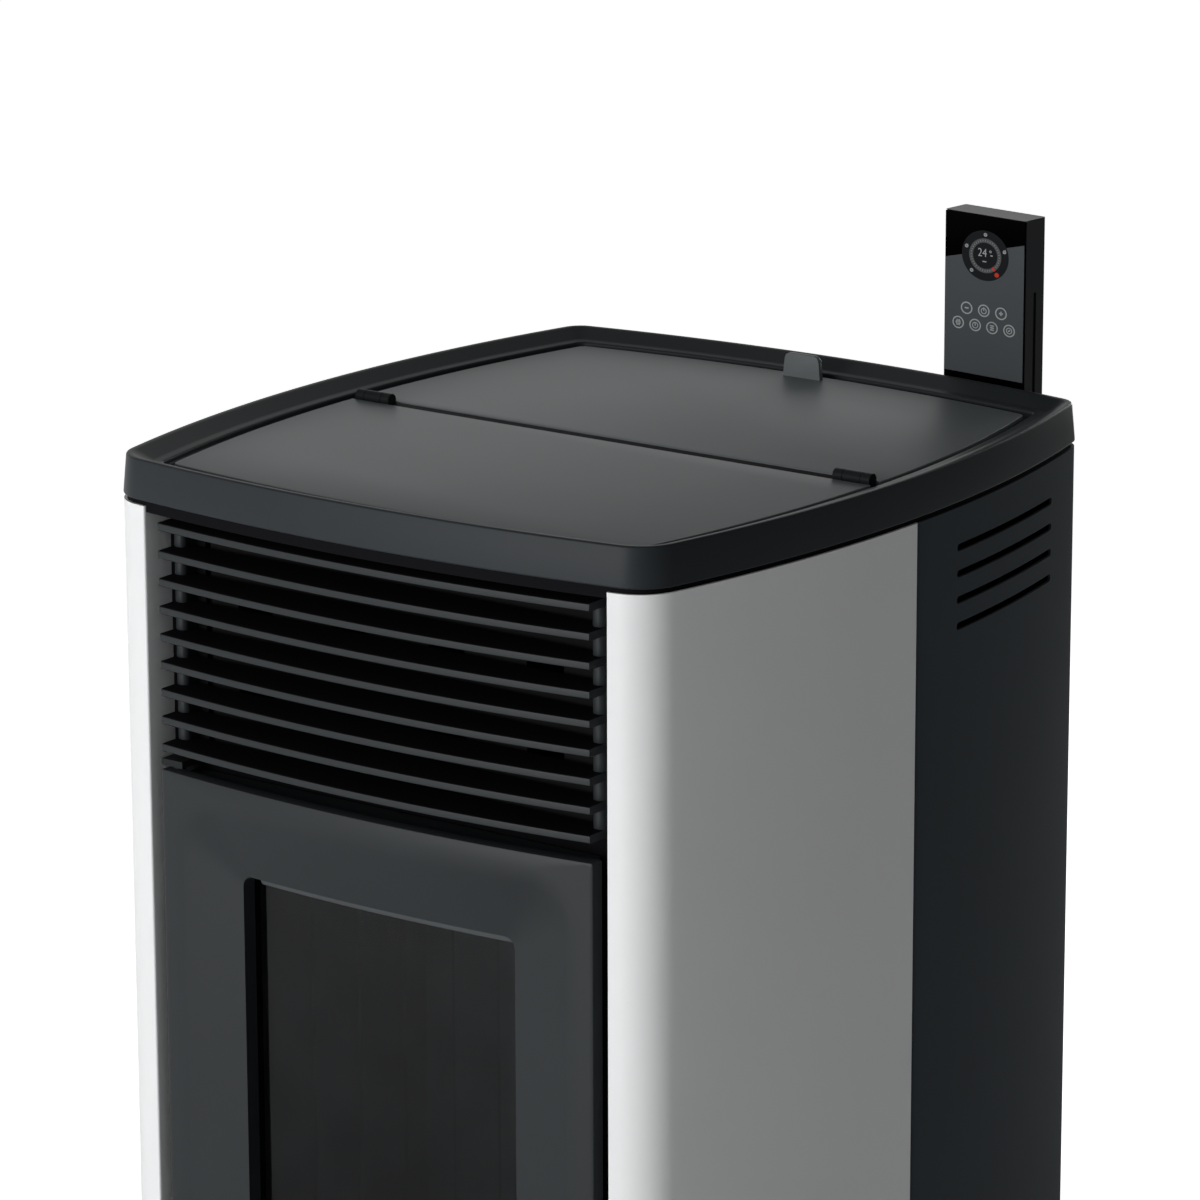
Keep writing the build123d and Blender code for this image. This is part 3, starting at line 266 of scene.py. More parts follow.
# Back panel: one flat sheet with cut-outs and louvre slots, painted like the dark sides
# and held by pan-head screws, so that it comes off for service.
dark_coat = painted("dark casing coat", (0.044, 0.053, 0.060), 0.50, grain=1.1, depth=0.03, shine=0.03)
screw_steel = zinc("blackened screw", (0.10, 0.10, 0.11), 0.38, spangle=20)
dress(dark_coat, "back_panel")
screws = bmesh.new()
head = [(0.01, 0), (4.2, 0), (4.2, 0.8), (3.6, 1.7), (2.4, 2.3), (1.9, 2.4), (1.5, 1.5), (0.01, 1.4)]
end_places = [(x, z) for x in (-178, -60, 60, 178) for z in (40, 1022)]
side_places = [(x, z) for z in (286, 530, 776) for x in (-178, 178)]
for x, z in end_places + side_places:
    turned(screws, head, (x, BACK_FACE, z), (0, 1, 0), steps=20)
fitted("back_screws", screws, screw_steel, "stove", "casing_dark")

# Casing panels: bowed steel sheets, 2 mm thick, folded inwards where they end. The front
# pair is powder-coated white and wraps round the front corners; the rear pair is dark,
# wraps round the rear corners, and has four long vent slots on each side.
FRONT_X, FRONT_Y, FRONT_BOW, FRONT_CORNER = 223.3, -274.2, 18.8, 37.0
REAR_X, REAR_Y, REAR_BOW, REAR_CORNER = 219.7, 243.2, 20.6, 24.0
SIDE_BOW, LEAST_CORNER = 33.5, 7.0
PANEL_INSET, PANEL_T, PANEL_LOW, PANEL_HIGH = 4.8, 2.0, 22.0, 1039.4
OPENING_X, BACK_X, FLANGE_X = 189.9, 188.0, 236.0


def circle_through(a, b, c):
    """Centre and radius of the circle through three points."""
    ax, ay, bx, by = b[0] - a[0], b[1] - a[1], c[0] - a[0], c[1] - a[1]
    twice = 2 * (ax * by - ay * bx)
    x = (by * (ax * ax + ay * ay) - ay * (bx * bx + by * by)) / twice
    y = (ax * (bx * bx + by * by) - bx * (ax * ax + ay * ay)) / twice
    return (a[0] + x, a[1] + y), math.hypot(x, y)


FRONT_C, FRONT_R = circle_through((-FRONT_X, FRONT_Y), (0, FRONT_Y - FRONT_BOW), (FRONT_X, FRONT_Y))
REAR_C, REAR_R = circle_through((-REAR_X, REAR_Y), (0, REAR_Y + REAR_BOW), (REAR_X, REAR_Y))
side_middle = ((FRONT_X + REAR_X) / 2 + SIDE_BOW, (FRONT_Y + REAR_Y) / 2)
SIDE_C, SIDE_R = circle_through((FRONT_X, FRONT_Y), side_middle, (REAR_X, REAR_Y))


def front_y(x, inset):
    """Where the front bow, drawn in by inset, stands at x."""
    return FRONT_C[1] - math.sqrt((FRONT_R - inset) ** 2 - x * x)


def rounded_corner(inset, rear):
    """Right-hand corner of the body: its centre, and where it leaves the bow and meets the side."""
    bow, radius, rounding, turn = FRONT_C, FRONT_R, FRONT_CORNER, 1
    if rear:
        bow, radius, rounding, turn = REAR_C, REAR_R, REAR_CORNER, -1
    r = max(rounding - inset, LEAST_CORNER)
    a, b = radius - inset - r, SIDE_R - inset - r
    dx, dy = SIDE_C[0] - bow[0], SIDE_C[1] - bow[1]
    gap = math.hypot(dx, dy)
    along = (a * a - b * b + gap * gap) / (2 * gap)
    across = turn * math.sqrt(a * a - along * along)
    x, y = bow[0] + (dx * along - dy * across) / gap, bow[1] + (dy * along + dx * across) / gap
    meets = []
    for centre, reach in ((bow, a), (SIDE_C, b)):
        grow = (reach + r) / reach
        meets.append((centre[0] + (x - centre[0]) * grow, centre[1] + (y - centre[1]) * grow))
    return (x, y), *meets


def line_to(mesh, vert, end):
    """Draw a straight line, seen in plan, from a vertex to end."""
    last = bmesh.ops.extrude_vert_indiv(mesh, verts=[vert])["verts"][0]
    last.co.xy = Vector(end) * MM
    return last


def arc_to(mesh, vert, centre, end, steps):
    """Draw an arc about centre, seen in plan, from a vertex to end."""
    start = math.atan2(vert.co.y / MM - centre[1], vert.co.x / MM - centre[0])
    angle = (math.atan2(end[1] - centre[1], end[0] - centre[0]) - start + math.pi) % math.tau - math.pi
    centre = Vector((centre[0] * MM, centre[1] * MM, vert.co.z))
    drawn = bmesh.ops.spin(mesh, geom=[vert], cent=centre, axis=(0, 0, 1), angle=angle, steps=steps)
    return [v for v in drawn["geom_last"] if isinstance(v, bmesh.types.BMVert)][0]


def folded_panel(rear, side):
    """Fold one panel: in at the opening, round the corner, along the side, in at the joint."""
    mesh = bmesh.new()
    corner, bow_meet, side_meet = rounded_corner(PANEL_INSET, rear)
    if rear:
        fold_x = BACK_X - PANEL_T
        fold = (fold_x, REAR_C[1] + math.sqrt((REAR_R - PANEL_INSET) ** 2 - fold_x * fold_x))
        inner, bow, split_y = (fold[0], BACK_FACE), REAR_C, -12.0
    else:
        fold = (OPENING_X, front_y(OPENING_X, PANEL_INSET))
        inner, bow, split_y = (fold[0], fold[1] + 32), FRONT_C, -12.5
    split = (SIDE_C[0] + math.sqrt((SIDE_R - PANEL_INSET) ** 2 - (split_y - SIDE_C[1]) ** 2), split_y)
    vert = mesh.verts.new(Vector((*inner, PANEL_LOW)) * MM)
    vert = line_to(mesh, vert, fold)
    vert = arc_to(mesh, vert, bow, bow_meet, 6)
    vert = arc_to(mesh, vert, corner, side_meet, 16)
    vert = arc_to(mesh, vert, SIDE_C, split, 20)
    line_to(mesh, vert, (FLANGE_X, split_y))
    raised = bmesh.ops.extrude_edge_only(mesh, edges=mesh.edges)["geom"]
    raised = [v for v in raised if isinstance(v, bmesh.types.BMVert)]
    bmesh.ops.translate(mesh, verts=raised, vec=(0, 0, (PANEL_HIGH - PANEL_LOW) * MM))
    mesh.normal_update()
    folds = [e for e in mesh.edges if e.is_manifold and e.calc_face_angle() > 0.6]
    bmesh.ops.bevel(mesh, geom=folds, affect="EDGES", offset=1.9 * MM, segments=4, profile=0.5, material=-1)
    bmesh.ops.scale(mesh, vec=(side, 1, 1), verts=mesh.verts)
    bmesh.ops.recalc_face_normals(mesh, faces=mesh.faces)
    outermost = max(mesh.faces, key=lambda face: side * face.calc_center_median().x)
    if side * outermost.normal.x < 0:
        bmesh.ops.reverse_faces(mesh, faces=mesh.faces)
    bmesh.ops.solidify(mesh, geom=mesh.faces[:], thickness=PANEL_T * MM)
    return mesh


def carve(piece, cutters):
    """Cut shapes out of a piece and keep the result as its mesh."""
    data = bpy.data.meshes.new("cutters")
    cutters.to_mesh(data)
    cutters.free()
    tool = bpy.data.objects.new("cutters", data)
    bpy.context.scene.collection.objects.link(tool)
    cut = piece.modifiers.new("cut", "BOOLEAN")
    cut.operation, cut.solver, cut.object = "DIFFERENCE", "EXACT", tool
    carved = bpy.data.meshes.new_from_object(piece.evaluated_get(bpy.context.evaluated_depsgraph_get()))
    piece.modifiers.clear()
    piece.data = carved
    bpy.data.objects.remove(tool)


VENT_COUNT, VENT_TOP, VENT_PITCH, VENT_LENGTH, VENT_HEIGHT, VENT_MID_Y = 4, 1011.7, 18, 147.7, 5.2, 111.15
white_coat = painted(
    "white casing coat", (0.790, 0.802, 0.806), 0.42, grain=1.3, depth=0.02, mottle=0.01, shine=0.2
)
for name, side in (("left", -1), ("right", 1)):
    front, rear = folded_panel(False, side), folded_panel(True, side)
    fitted(f"{name}_white_panel", front, white_coat, "stove", "casing_white", f"{name}_side_panel")
    rear = fitted(f"{name}_dark_panel", rear, dark_coat, "stove", "casing_dark", f"{name}_rear_panel")
    slots = bmesh.new()
    for row in range(VENT_COUNT):
        slot = bmesh.ops.create_cube(slots, size=MM)["verts"]
        bmesh.ops.scale(slots, vec=(70, VENT_LENGTH, VENT_HEIGHT), verts=slot)
        place = Vector((side * 260, VENT_MID_Y, VENT_TOP - VENT_PITCH * row))
        bmesh.ops.translate(slots, vec=place * MM, verts=slot)
    ends = [e for e in slots.edges if abs(e.verts[0].co.x - e.verts[1].co.x) > 0.01]
    end_radius = (VENT_HEIGHT / 2 - 0.01) * MM
    bmesh.ops.bevel(slots, geom=ends, affect="EDGES", offset=end_radius, segments=6, profile=0.5, material=-1)
    carve(rear, slots)
    rear.data.set_sharp_from_angle(angle=math.radians(35))

# Top rim: one moulded ring, painted black, that closes the casing and carries the plates.
# Its wall leans in, the top edge is rounded, and an inner slope runs down to a narrow shelf
# and a ledge. A black foam strip closes the gap between the rim and the panels, and its dull
# black is also a painted shade for that gap.


def half_outline(mesh, inset, z):
    """Right half of the body's plan, drawn in by inset, from the front middle to the rear."""
    front_corner, front_meet, side_start = rounded_corner(inset, False)
    rear_corner, rear_meet, side_end = rounded_corner(inset, True)
    before = set(mesh.edges)
    vert = mesh.verts.new(Vector((0, FRONT_C[1] - FRONT_R + inset, z)) * MM)
    vert = arc_to(mesh, vert, FRONT_C, front_meet, 18)
    vert = arc_to(mesh, vert, front_corner, side_start, 14)
    vert = arc_to(mesh, vert, SIDE_C, side_end, 28)
    vert = arc_to(mesh, vert, rear_corner, rear_meet, 10)
    arc_to(mesh, vert, REAR_C, (0, REAR_C[1] + REAR_R - inset), 16)
    return [edge for edge in mesh.edges if edge not in before]


def stacked(mesh, levels, closed):
    """Join outlines of (inset, height) one after another, then add the left half."""
    rows = [half_outline(mesh, inset, z) for inset, z in levels]
    for row, following in zip(rows, rows[1:] + rows[:1] if closed else rows[1:]):
        bmesh.ops.bridge_loops(mesh, edges=row + following)
    whole = mesh.verts[:] + mesh.edges[:] + mesh.faces[:]
    bmesh.ops.mirror(mesh, geom=whole, axis="X", merge_dist=0.01 * MM)
    bmesh.ops.remove_doubles(mesh, verts=mesh.verts, dist=0.01 * MM)
    bmesh.ops.recalc_face_normals(mesh, faces=mesh.faces)


rim_black = painted("rim paint", (0.022, 0.026, 0.029), 0.42, grain=1.0, depth=0.02, shine=0.10)
rim = bmesh.new()
rim_section = [
    (4.3, 1042.8), (6.8, 1070), (10.8, 1070), (24.6, 1063.4), (31, 1063), (31, 1058.5),
    (46, 1058.5), (46, 1053.5), (26, 1053.5), (26, 1056.5), (8.3, 1056.5), (8.3, 1042.8),
]
stacked(rim, rim_section, True)
ridges = [e for e in rim.edges if e.calc_face_angle() > 0.22]
bmesh.ops.bevel(rim, geom=ridges, affect="EDGES", offset=1.4 * MM, segments=4, profile=0.5, material=-1)
fitted("rim_ring", rim, rim_black, "stove", "rim_black", "top_rim")
foam_strip = bmesh.new()
stacked(foam_strip, [(7.0, 1035), (7.0, 1044), (8.2, 1044), (8.2, 1035)], True)
fitted("rim_foam_strip", foam_strip, frame_and_shade_black, "stove", "foam_black")


def bar(mesh, low, high, rounding, segments=3):
    """Straight bar between two corners, in mm, with all its edges rounded."""
    part = bmesh.ops.create_cube(mesh, size=1)["verts"]
    bmesh.ops.scale(mesh, vec=(Vector(high) - Vector(low)) * MM, verts=part)
    bmesh.ops.translate(mesh, vec=(Vector(high) + Vector(low)) / 2 * MM, verts=part)
    edges = list({e for v in part for e in v.link_edges})
    bmesh.ops.bevel(
        mesh, geom=edges, affect="EDGES", offset=rounding * MM, segments=segments, profile=0.5, material=-1
    )


# Crossbar under the split; a dull black strip on it fills the gap between the plates as a painted shade that
# keeps the split line dark.
crossbar = bmesh.new()
bar(crossbar, (-207, -35, 1053.5), (207, 5, 1058.5), 0.8)
bar(crossbar, (-184.6, -20.3, 1057), (184.6, -9.7, 1061.0), 0.3)
fitted("rim_crossbar", crossbar, frame_and_shade_black, "stove", "rim_black")

# Front top plate and hopper lid: laser-cut sheets in a grey coat, lying on the ledge. The
# lid turns on a hinge line at the split, and has a lifting tab at the back that is bent up
# from the sheet.
plate_grey = painted("grey plate coat", (0.139, 0.156, 0.162), 0.46, grain=0.8, depth=0.025, shine=0.25)
PLATE_INSET, PLATE_TOP = 37.4, 1061.8
TAB_SIZE, TAB_PLACE, TAB_TAPER = (31.5, 4, 18), (0, 217.4, 1069.8), 0.905


def ledge_plate(underside, split_y, keep):
    """Plate on the ledge, cut off straight at the split; keep is -1 for the front part."""
    mesh = bmesh.new()
    stacked(mesh, [(PLATE_INSET, underside), (PLATE_INSET, PLATE_TOP)], False)
    bmesh.ops.edgeloop_fill(mesh, edges=[e for e in mesh.edges if e.is_boundary])
    whole = mesh.verts[:] + mesh.edges[:] + mesh.faces[:]
    bmesh.ops.bisect_plane(
        mesh, geom=whole, dist=1e-6, plane_co=(0, split_y * MM, 0), plane_no=(0, -keep, 0), clear_outer=True
    )
    bmesh.ops.edgeloop_fill(mesh, edges=[e for e in mesh.edges if e.is_boundary])
    bmesh.ops.recalc_face_normals(mesh, faces=mesh.faces)
    top = [e for e in mesh.edges if min(v.co.z for v in e.verts) > (PLATE_TOP - 0.1) * MM]
    bmesh.ops.bevel(mesh, geom=top, affect="EDGES", offset=0.7 * MM, segments=3, profile=0.5, material=-1)
    return mesh


fitted("front_plate", ledge_plate(1058.5, -20.5, -1), plate_grey, "stove", "plate_grey", "front_top_plate")
lid = ledge_plate(1058.8, -9.5, 1)
tab = bmesh.ops.create_cube(lid, size=1)["verts"]
bmesh.ops.scale(lid, vec=Vector(TAB_SIZE) * MM, verts=tab)
bmesh.ops.translate(lid, vec=Vector(TAB_PLACE) * MM, verts=tab)
bmesh.ops.scale(lid, vec=(TAB_TAPER, 1, 1), verts=[v for v in tab if v.co.z > TAB_PLACE[2] * MM])
tab_corners = [
    e for v in tab for e in v.link_edges if min(w.co.z for w in e.verts) > TAB_PLACE[2] * MM
    and abs(e.verts[0].co.x) > 0.01 and abs(e.verts[0].co.y - e.verts[1].co.y) > 0.003
]
bmesh.ops.bevel(
    lid, geom=list(set(tab_corners)), affect="EDGES", offset=4.5 * MM, segments=8, profile=0.5, material=-1
)
tab_edges = [
    e for e in lid.edges
    if e.is_manifold and e.calc_face_angle(0) > 0.6 and min(v.co.z for v in e.verts) > (PLATE_TOP + 0.7) * MM
]
bmesh.ops.bevel(lid, geom=tab_edges, affect="EDGES", offset=0.6 * MM, segments=3, profile=0.5, material=-1)
fitted("lid_plate", lid, plate_grey, "hopper_lid", "plate_grey", "hopper_lid")
fitting_black = painted("fitting paint", (0.016, 0.018, 0.019), 0.45, grain=0.7, depth=0.02)
dress(fitting_black, "lid_hinge_knuckles", "lid_hinge_sleeves")

# Air grille: nine cast slats that follow the front bow, each with a slightly hollow nose
# and rounded edges, on two round-nosed posts that stand out from the frame plate. The slats'
# upper and lower faces take a dull black as a painted shade, so only the noses and posts
# have a sheen.
FACE_INSET = 5.5
iron_black = painted("iron paint", (0.020, 0.0235, 0.0255), 0.40, grain=1.0, depth=0.02, shine=0.14)
grille = bmesh.new()
nose = [
    (1.1, 2.75), (0.55, 2.6), (0.15, 2.2), (0, 1.65), (0.25, 0),
    (0, -1.65), (0.15, -2.2), (0.55, -2.6), (1.1, -2.75),
]
SLAT_COUNT, SLAT_TOP, SLAT_PITCH, SLAT_HALF, SLAT_REAR = 9, 1027.6, 18.97, 177.5, -252
POST_WIDTH, POST_DEPTH, POST_HEIGHT, POST_MID_Y, POST_MID_Z = 9.5, 13.5, 155, -254.75, 951.7
reach = math.asin((SLAT_HALF + 4.5) / (FRONT_R - FACE_INSET))


def pour(made, mesh):
    """Add a finished bmesh to another one and free it."""
    part = bpy.data.meshes.new("part")
    made.to_mesh(part)
    made.free()
    mesh.from_mesh(part)
    bpy.data.meshes.remove(part)


for row in range(SLAT_COUNT):
    slat = bmesh.new()
    z = SLAT_TOP - SLAT_PITCH * row
    points = []
    for depth, up in nose:
        r = FRONT_R - FACE_INSET - depth
        point = Vector((-r * math.sin(reach), FRONT_C[1] - r * math.cos(reach), z + up))
        points.append(slat.verts.new(point * MM))
    profile = [slat.edges.new(pair) for pair in zip(points, points[1:])]
    cent = Vector((*FRONT_C, z)) * MM
    bmesh.ops.spin(slat, geom=profile + points, cent=cent, axis=(0, 0, 1), angle=2 * reach, steps=36)
    rear_edges = [
        e for e in slat.edges if e.is_boundary and abs(e.verts[0].co.z - e.verts[1].co.z) < 1e-6
        and abs(e.verts[0].co.z / MM - z) > 2.7
    ]
    back = bmesh.ops.extrude_edge_only(slat, edges=rear_edges)["geom"]
    back_verts = [v for v in back if isinstance(v, bmesh.types.BMVert)]
    back_edges = [e for e in back if isinstance(e, bmesh.types.BMEdge)]
    for vert in back_verts:
        vert.co.y = SLAT_REAR * MM
    bmesh.ops.bridge_loops(slat, edges=back_edges)
    for side in (-1, 1):
        whole = slat.verts[:] + slat.edges[:] + slat.faces[:]
        end = (side * SLAT_HALF * MM, 0, 0)
        bmesh.ops.bisect_plane(
            slat, geom=whole, dist=1e-6, plane_co=end, plane_no=(side, 0, 0), clear_outer=True
        )
    bmesh.ops.edgeloop_fill(slat, edges=[e for e in slat.edges if e.is_boundary])
    bmesh.ops.recalc_face_normals(slat, faces=slat.faces)
    pour(slat, grille)
for side in (-1, 1):
    post = bmesh.ops.create_cube(grille, size=1)["verts"]
    bmesh.ops.scale(grille, vec=Vector((POST_WIDTH, POST_DEPTH, POST_HEIGHT)) * MM, verts=post)
    place = Vector((side * (SLAT_HALF - POST_WIDTH / 2), POST_MID_Y, POST_MID_Z))
    bmesh.ops.translate(grille, vec=place * MM, verts=post)
    front_edges = {
        e for v in post for e in v.link_edges if max(w.co.y for w in e.verts) < POST_MID_Y * MM
        and abs(e.verts[0].co.z - e.verts[1].co.z) > 0.1
    }
    bmesh.ops.bevel(
        grille, geom=list(front_edges), affect="EDGES", offset=4.2 * MM, segments=7, profile=0.5, material=-1
    )
slats = fitted("slatted_grille", grille, iron_black, "stove", "iron_black", "air_grille")
# Faces turned up or down take the dull black: a painted shade.
slats.data.materials.append(frame_and_shade_black)
for face in slats.data.polygons:
    face.material_index = int(abs(face.normal.z) > 0.7)

# Fire door: a cast frame that follows the bow, dished in to its window with soft edges.
# A lighter grey strip lies under the window's top edge. The glass sits in a rebate behind with
# a steel retainer and a rope seal, and the door turns on pins in two brackets.


def front_ring(mesh, half, low, high, out, corner, bowed):
    """Rounded rectangle lying on its back: x across, y up the front, z out of it."""
    bow = mesh.verts.layers.float.get("bow") or mesh.verts.layers.float.new("bow")
    before = set(mesh.edges)
    first = vert = mesh.verts.new(Vector((corner - half, low, out)) * MM)
    first[bow] = bowed
    inner = half - corner
    ends = ((inner, low), (half, high - corner), (-inner, high), (-half, low + corner))
    for turn, (x, y) in enumerate(ends):
        vert = line_to(mesh, vert, (x, y))
        centre = ((x, y + corner), (x - corner, y), (x, y - corner), (x + corner, y))[turn]
        across, up = ((1, 1), (-1, 1), (-1, -1), (1, -1))[turn]
        vert = arc_to(mesh, vert, centre, (x + across * corner, y + up * corner), 6)
    bmesh.ops.pointmerge(mesh, verts=[first, vert], merge_co=first.co)
    return [edge for edge in mesh.edges if edge not in before]


def bowed_front(rings, closed):
    """Draw rings of (half, low, high, out, corner, bowed) in turn, bow them and stand them up."""
    mesh = bmesh.new()
    edges = front_ring(mesh, *rings[0])
    bow = mesh.verts.layers.float["bow"]
    for was, now in zip(rings, rings[1:] + rings[:1] if closed else rings[1:]):
        grown = bmesh.ops.extrude_edge_only(mesh, edges=edges)["geom"]
        verts = {v for v in grown if isinstance(v, bmesh.types.BMVert)}
        edges = [e for e in mesh.edges if verts.issuperset(e.verts)]
        for vert in verts:
            side, up = math.copysign(1, vert.co.x), vert.co.y / MM > (was[1] + was[2]) / 2
            old = Vector((side * (was[0] - was[4]), was[2] - was[4] if up else was[1] + was[4]))
            new = Vector((side * (now[0] - now[4]), now[2] - now[4] if up else now[1] + now[4]))
            vert.co.xy = (new + (vert.co.xy / MM - old) * now[4] / was[4]) * MM
            vert.co.z = now[3] * MM
            vert[bow] = now[5]
    bmesh.ops.remove_doubles(mesh, verts=mesh.verts, dist=0.002 * MM)
    if not closed:
        bmesh.ops.edgeloop_fill(mesh, edges=[e for e in mesh.edges if e.is_boundary])
    for step in range(-22, 23):
        whole = mesh.verts[:] + mesh.edges[:] + mesh.faces[:]
        cut = (step * 8 * MM, 0, 0)
        bmesh.ops.bisect_plane(mesh, geom=whole, dist=1e-7, plane_co=cut, plane_no=(1, 0, 0))
    for vert in mesh.verts:
        sagged = front_y(0, FACE_INSET) - front_y(vert.co.x / MM, FACE_INSET)
        vert.co.z += vert[bow] * sagged * MM
    bmesh.ops.rotate(mesh, cent=(0, 0, 0), matrix=Matrix.Rotation(math.pi / 2, 3, "X"), verts=mesh.verts)
    bmesh.ops.recalc_face_normals(mesh, faces=mesh.faces)
    return mesh


FACE_OUT, FRONT_HALF = -front_y(0, FACE_INSET), 179.5
DOOR_BACK, SEAL_SEAT, GLASS_SEAT = 252, 254.5, 259
DISH_DEPTH, SOFT, DISH_STEPS = 12, 0.12, 12


def casting_edge(low, high):
    """Rings of a casting's outer edge, from behind and over the rounding to the face."""
    return [
        (FRONT_HALF, low, high, FACE_OUT - 10, 1.5, 1),
        (FRONT_HALF, low, high, FACE_OUT - 1.4, 1.5, 1),
        (FRONT_HALF - 0.4, low + 0.4, high - 0.4, FACE_OUT - 0.4, 1.5, 1),
        (FRONT_HALF - 1.4, low + 1.4, high - 1.4, FACE_OUT, 1.5, 1),
    ]


door_rings = [
    (125.5, 418, 809, DOOR_BACK, 1, 0), (152, 354, 847.5, DOOR_BACK, 1, 0),
    (152, 354, 847.5, SEAL_SEAT, 1, 0), (160, 346, 855.5, SEAL_SEAT, 1, 0),
    (160, 346, 855.5, DOOR_BACK, 1, 0), (168, 343, 857.5, DOOR_BACK, 1, 0),
    (168, 343, 857.5, FACE_OUT - 10, 1, 1), *casting_edge(340, 860.5),
]
for step in range(DISH_STEPS + 1):
    t = step / DISH_STEPS * (1 + SOFT) - SOFT
    dip = DISH_DEPTH * ((t + SOFT) ** 2 / (4 * SOFT) if t < SOFT else t)
    corner = 34 - 26 * max(t, 0) ** 0.8
    door_rings.append((162.5 - 49 * t, 357 + 73 * t, 843.5 - 46.5 * t, FACE_OUT - dip, corner, 1))
door_rings += [
    (113.5, 430, 797, FACE_OUT - DISH_DEPTH - 0.8, 8, 1), (113.5, 430, 797, GLASS_SEAT, 8, 0),
    (125.5, 418, 809, GLASS_SEAT, 1, 0),
]
fitted("door_casting", bowed_front(door_rings, True), iron_black, "fire_door", "iron_black", "fire_door")
top_strip_grey = painted("top strip grey", (0.058, 0.064, 0.067), 0.40, depth=0.01, shine=0.1)
top_strip_rings = [
    (107, 789.6, 796, FACE_OUT - 23.6, 2.8, 1), (107, 789.6, 796, FACE_OUT - 22.9, 2.8, 1),
    (106.5, 790.1, 795.5, FACE_OUT - 22.4, 2.3, 1),
]
fitted("window_top_strip", bowed_front(top_strip_rings, False), top_strip_grey, "fire_door", "iron_black")
rope = scorched("rope seal", (0.16, 0.155, 0.15), 0.95, 0.0, pit=1.2, depth=0.5, soot=0.7)
dress(fitting_black, "glass_retainer", "door_hinge_brackets")
dress(rope, "door_seal")


def shade_tinted_glass(name, shade_tint, roughness):
    """Ceramic glass, tinted dark as a painted shade over the firebox behind it, with a faint film of soot."""
    material = bpy.data.materials.new(name)
    material.use_nodes = True
    nodes = material.node_tree.nodes
    links = material.node_tree.links
    shader = nodes["Principled BSDF"]
    shader.inputs["Transmission Weight"].default_value = 1.0
    shader.inputs["IOR"].default_value = 1.19
    place = nodes.new("ShaderNodeTexCoord")
    film = nodes.new("ShaderNodeTexNoise")
    film.inputs["Scale"].default_value = 11
    film.inputs["Detail"].default_value = 3
    tone = nodes.new("ShaderNodeValToRGB")
    tone.color_ramp.elements[0].position = 0.3
    tone.color_ramp.elements[1].position = 0.7
    tone.color_ramp.elements[0].color = (*[c * 0.8 for c in shade_tint], 1)
    tone.color_ramp.elements[1].color = (*shade_tint, 1)
    polish = nodes.new("ShaderNodeMapRange")
    polish.inputs["To Min"].default_value = roughness
    polish.inputs["To Max"].default_value = roughness + 0.03
    links.new(place.outputs["Object"], film.inputs["Vector"])
    links.new(film.outputs["Fac"], tone.inputs["Fac"])
    links.new(tone.outputs["Color"], shader.inputs["Base Color"])
    links.new(film.outputs["Fac"], polish.inputs["Value"])
    links.new(polish.outputs["Result"], shader.inputs["Roughness"])
    return material


# The glass's dark tint is a painted shade over the firebox behind it.
fire_glass = shade_tinted_glass("fire glass", (0.150, 0.176, 0.198), 0.04)
dress(fire_glass, "door_glass")

# Door lever: a flat steel handle, satin-finished, pressed on a spindle through the door.
# The spindle carries the cam that turns behind the frame plate.
lever_steel = zinc("lever steel", (0.30, 0.31, 0.32), 0.34, spangle=40)
dress(lever_steel, "latch_cam")
lever = bmesh.new()
LEVER_X, LEVER_Z, GRIP_R, GRIP_REACH, GRIP_OUT, GRIP_T = 171, 600, 5.5, 84, 281, 8
first = vert = lever.verts.new(Vector((-GRIP_R, 0, GRIP_OUT)) * MM)
vert = arc_to(lever, vert, (0, 0), (0, GRIP_R), 8)
vert = arc_to(lever, vert, (0, 0), (GRIP_R, 0), 8)
vert = line_to(lever, vert, (GRIP_R, -GRIP_REACH))
vert = arc_to(lever, vert, (0, -GRIP_REACH), (0, -GRIP_REACH - GRIP_R), 8)
vert = arc_to(lever, vert, (0, -GRIP_REACH), (-GRIP_R, -GRIP_REACH), 8)
lever.edges.new((vert, first))
bmesh.ops.translate(lever, verts=lever.verts, vec=Vector((LEVER_X, LEVER_Z, 0)) * MM)
grip = bmesh.ops.edgeloop_fill(lever, edges=lever.edges)["faces"]
raised = bmesh.ops.extrude_face_region(lever, geom=grip, use_keep_orig=True)["geom"]
raised = [v for v in raised if isinstance(v, bmesh.types.BMVert)]
bmesh.ops.translate(lever, verts=raised, vec=(0, 0, GRIP_T * MM))
bmesh.ops.recalc_face_normals(lever, faces=lever.faces)
ridges = [e for e in lever.edges if e.calc_face_angle(0) > 1]
bmesh.ops.bevel(lever, geom=ridges, affect="EDGES", offset=2.2 * MM, segments=5, profile=0.5, material=-1)
bmesh.ops.rotate(lever, cent=(0, 0, 0), matrix=Matrix.Rotation(math.pi / 2, 3, "X"), verts=lever.verts)
boss = [
    (4.0, -285), (4.0, -278.5), (7.1, -278.5), (7.5, -278.9),
    (7.5, -287.6), (6.1, -289), (0.01, -289), (0.01, -285),
]
turned(lever, boss, (LEVER_X, 0, LEVER_Z), (0, 1, 0), steps=40)
fitted("lever_handle", lever, lever_steel, "door_lever", "lever_steel", "door_lever")

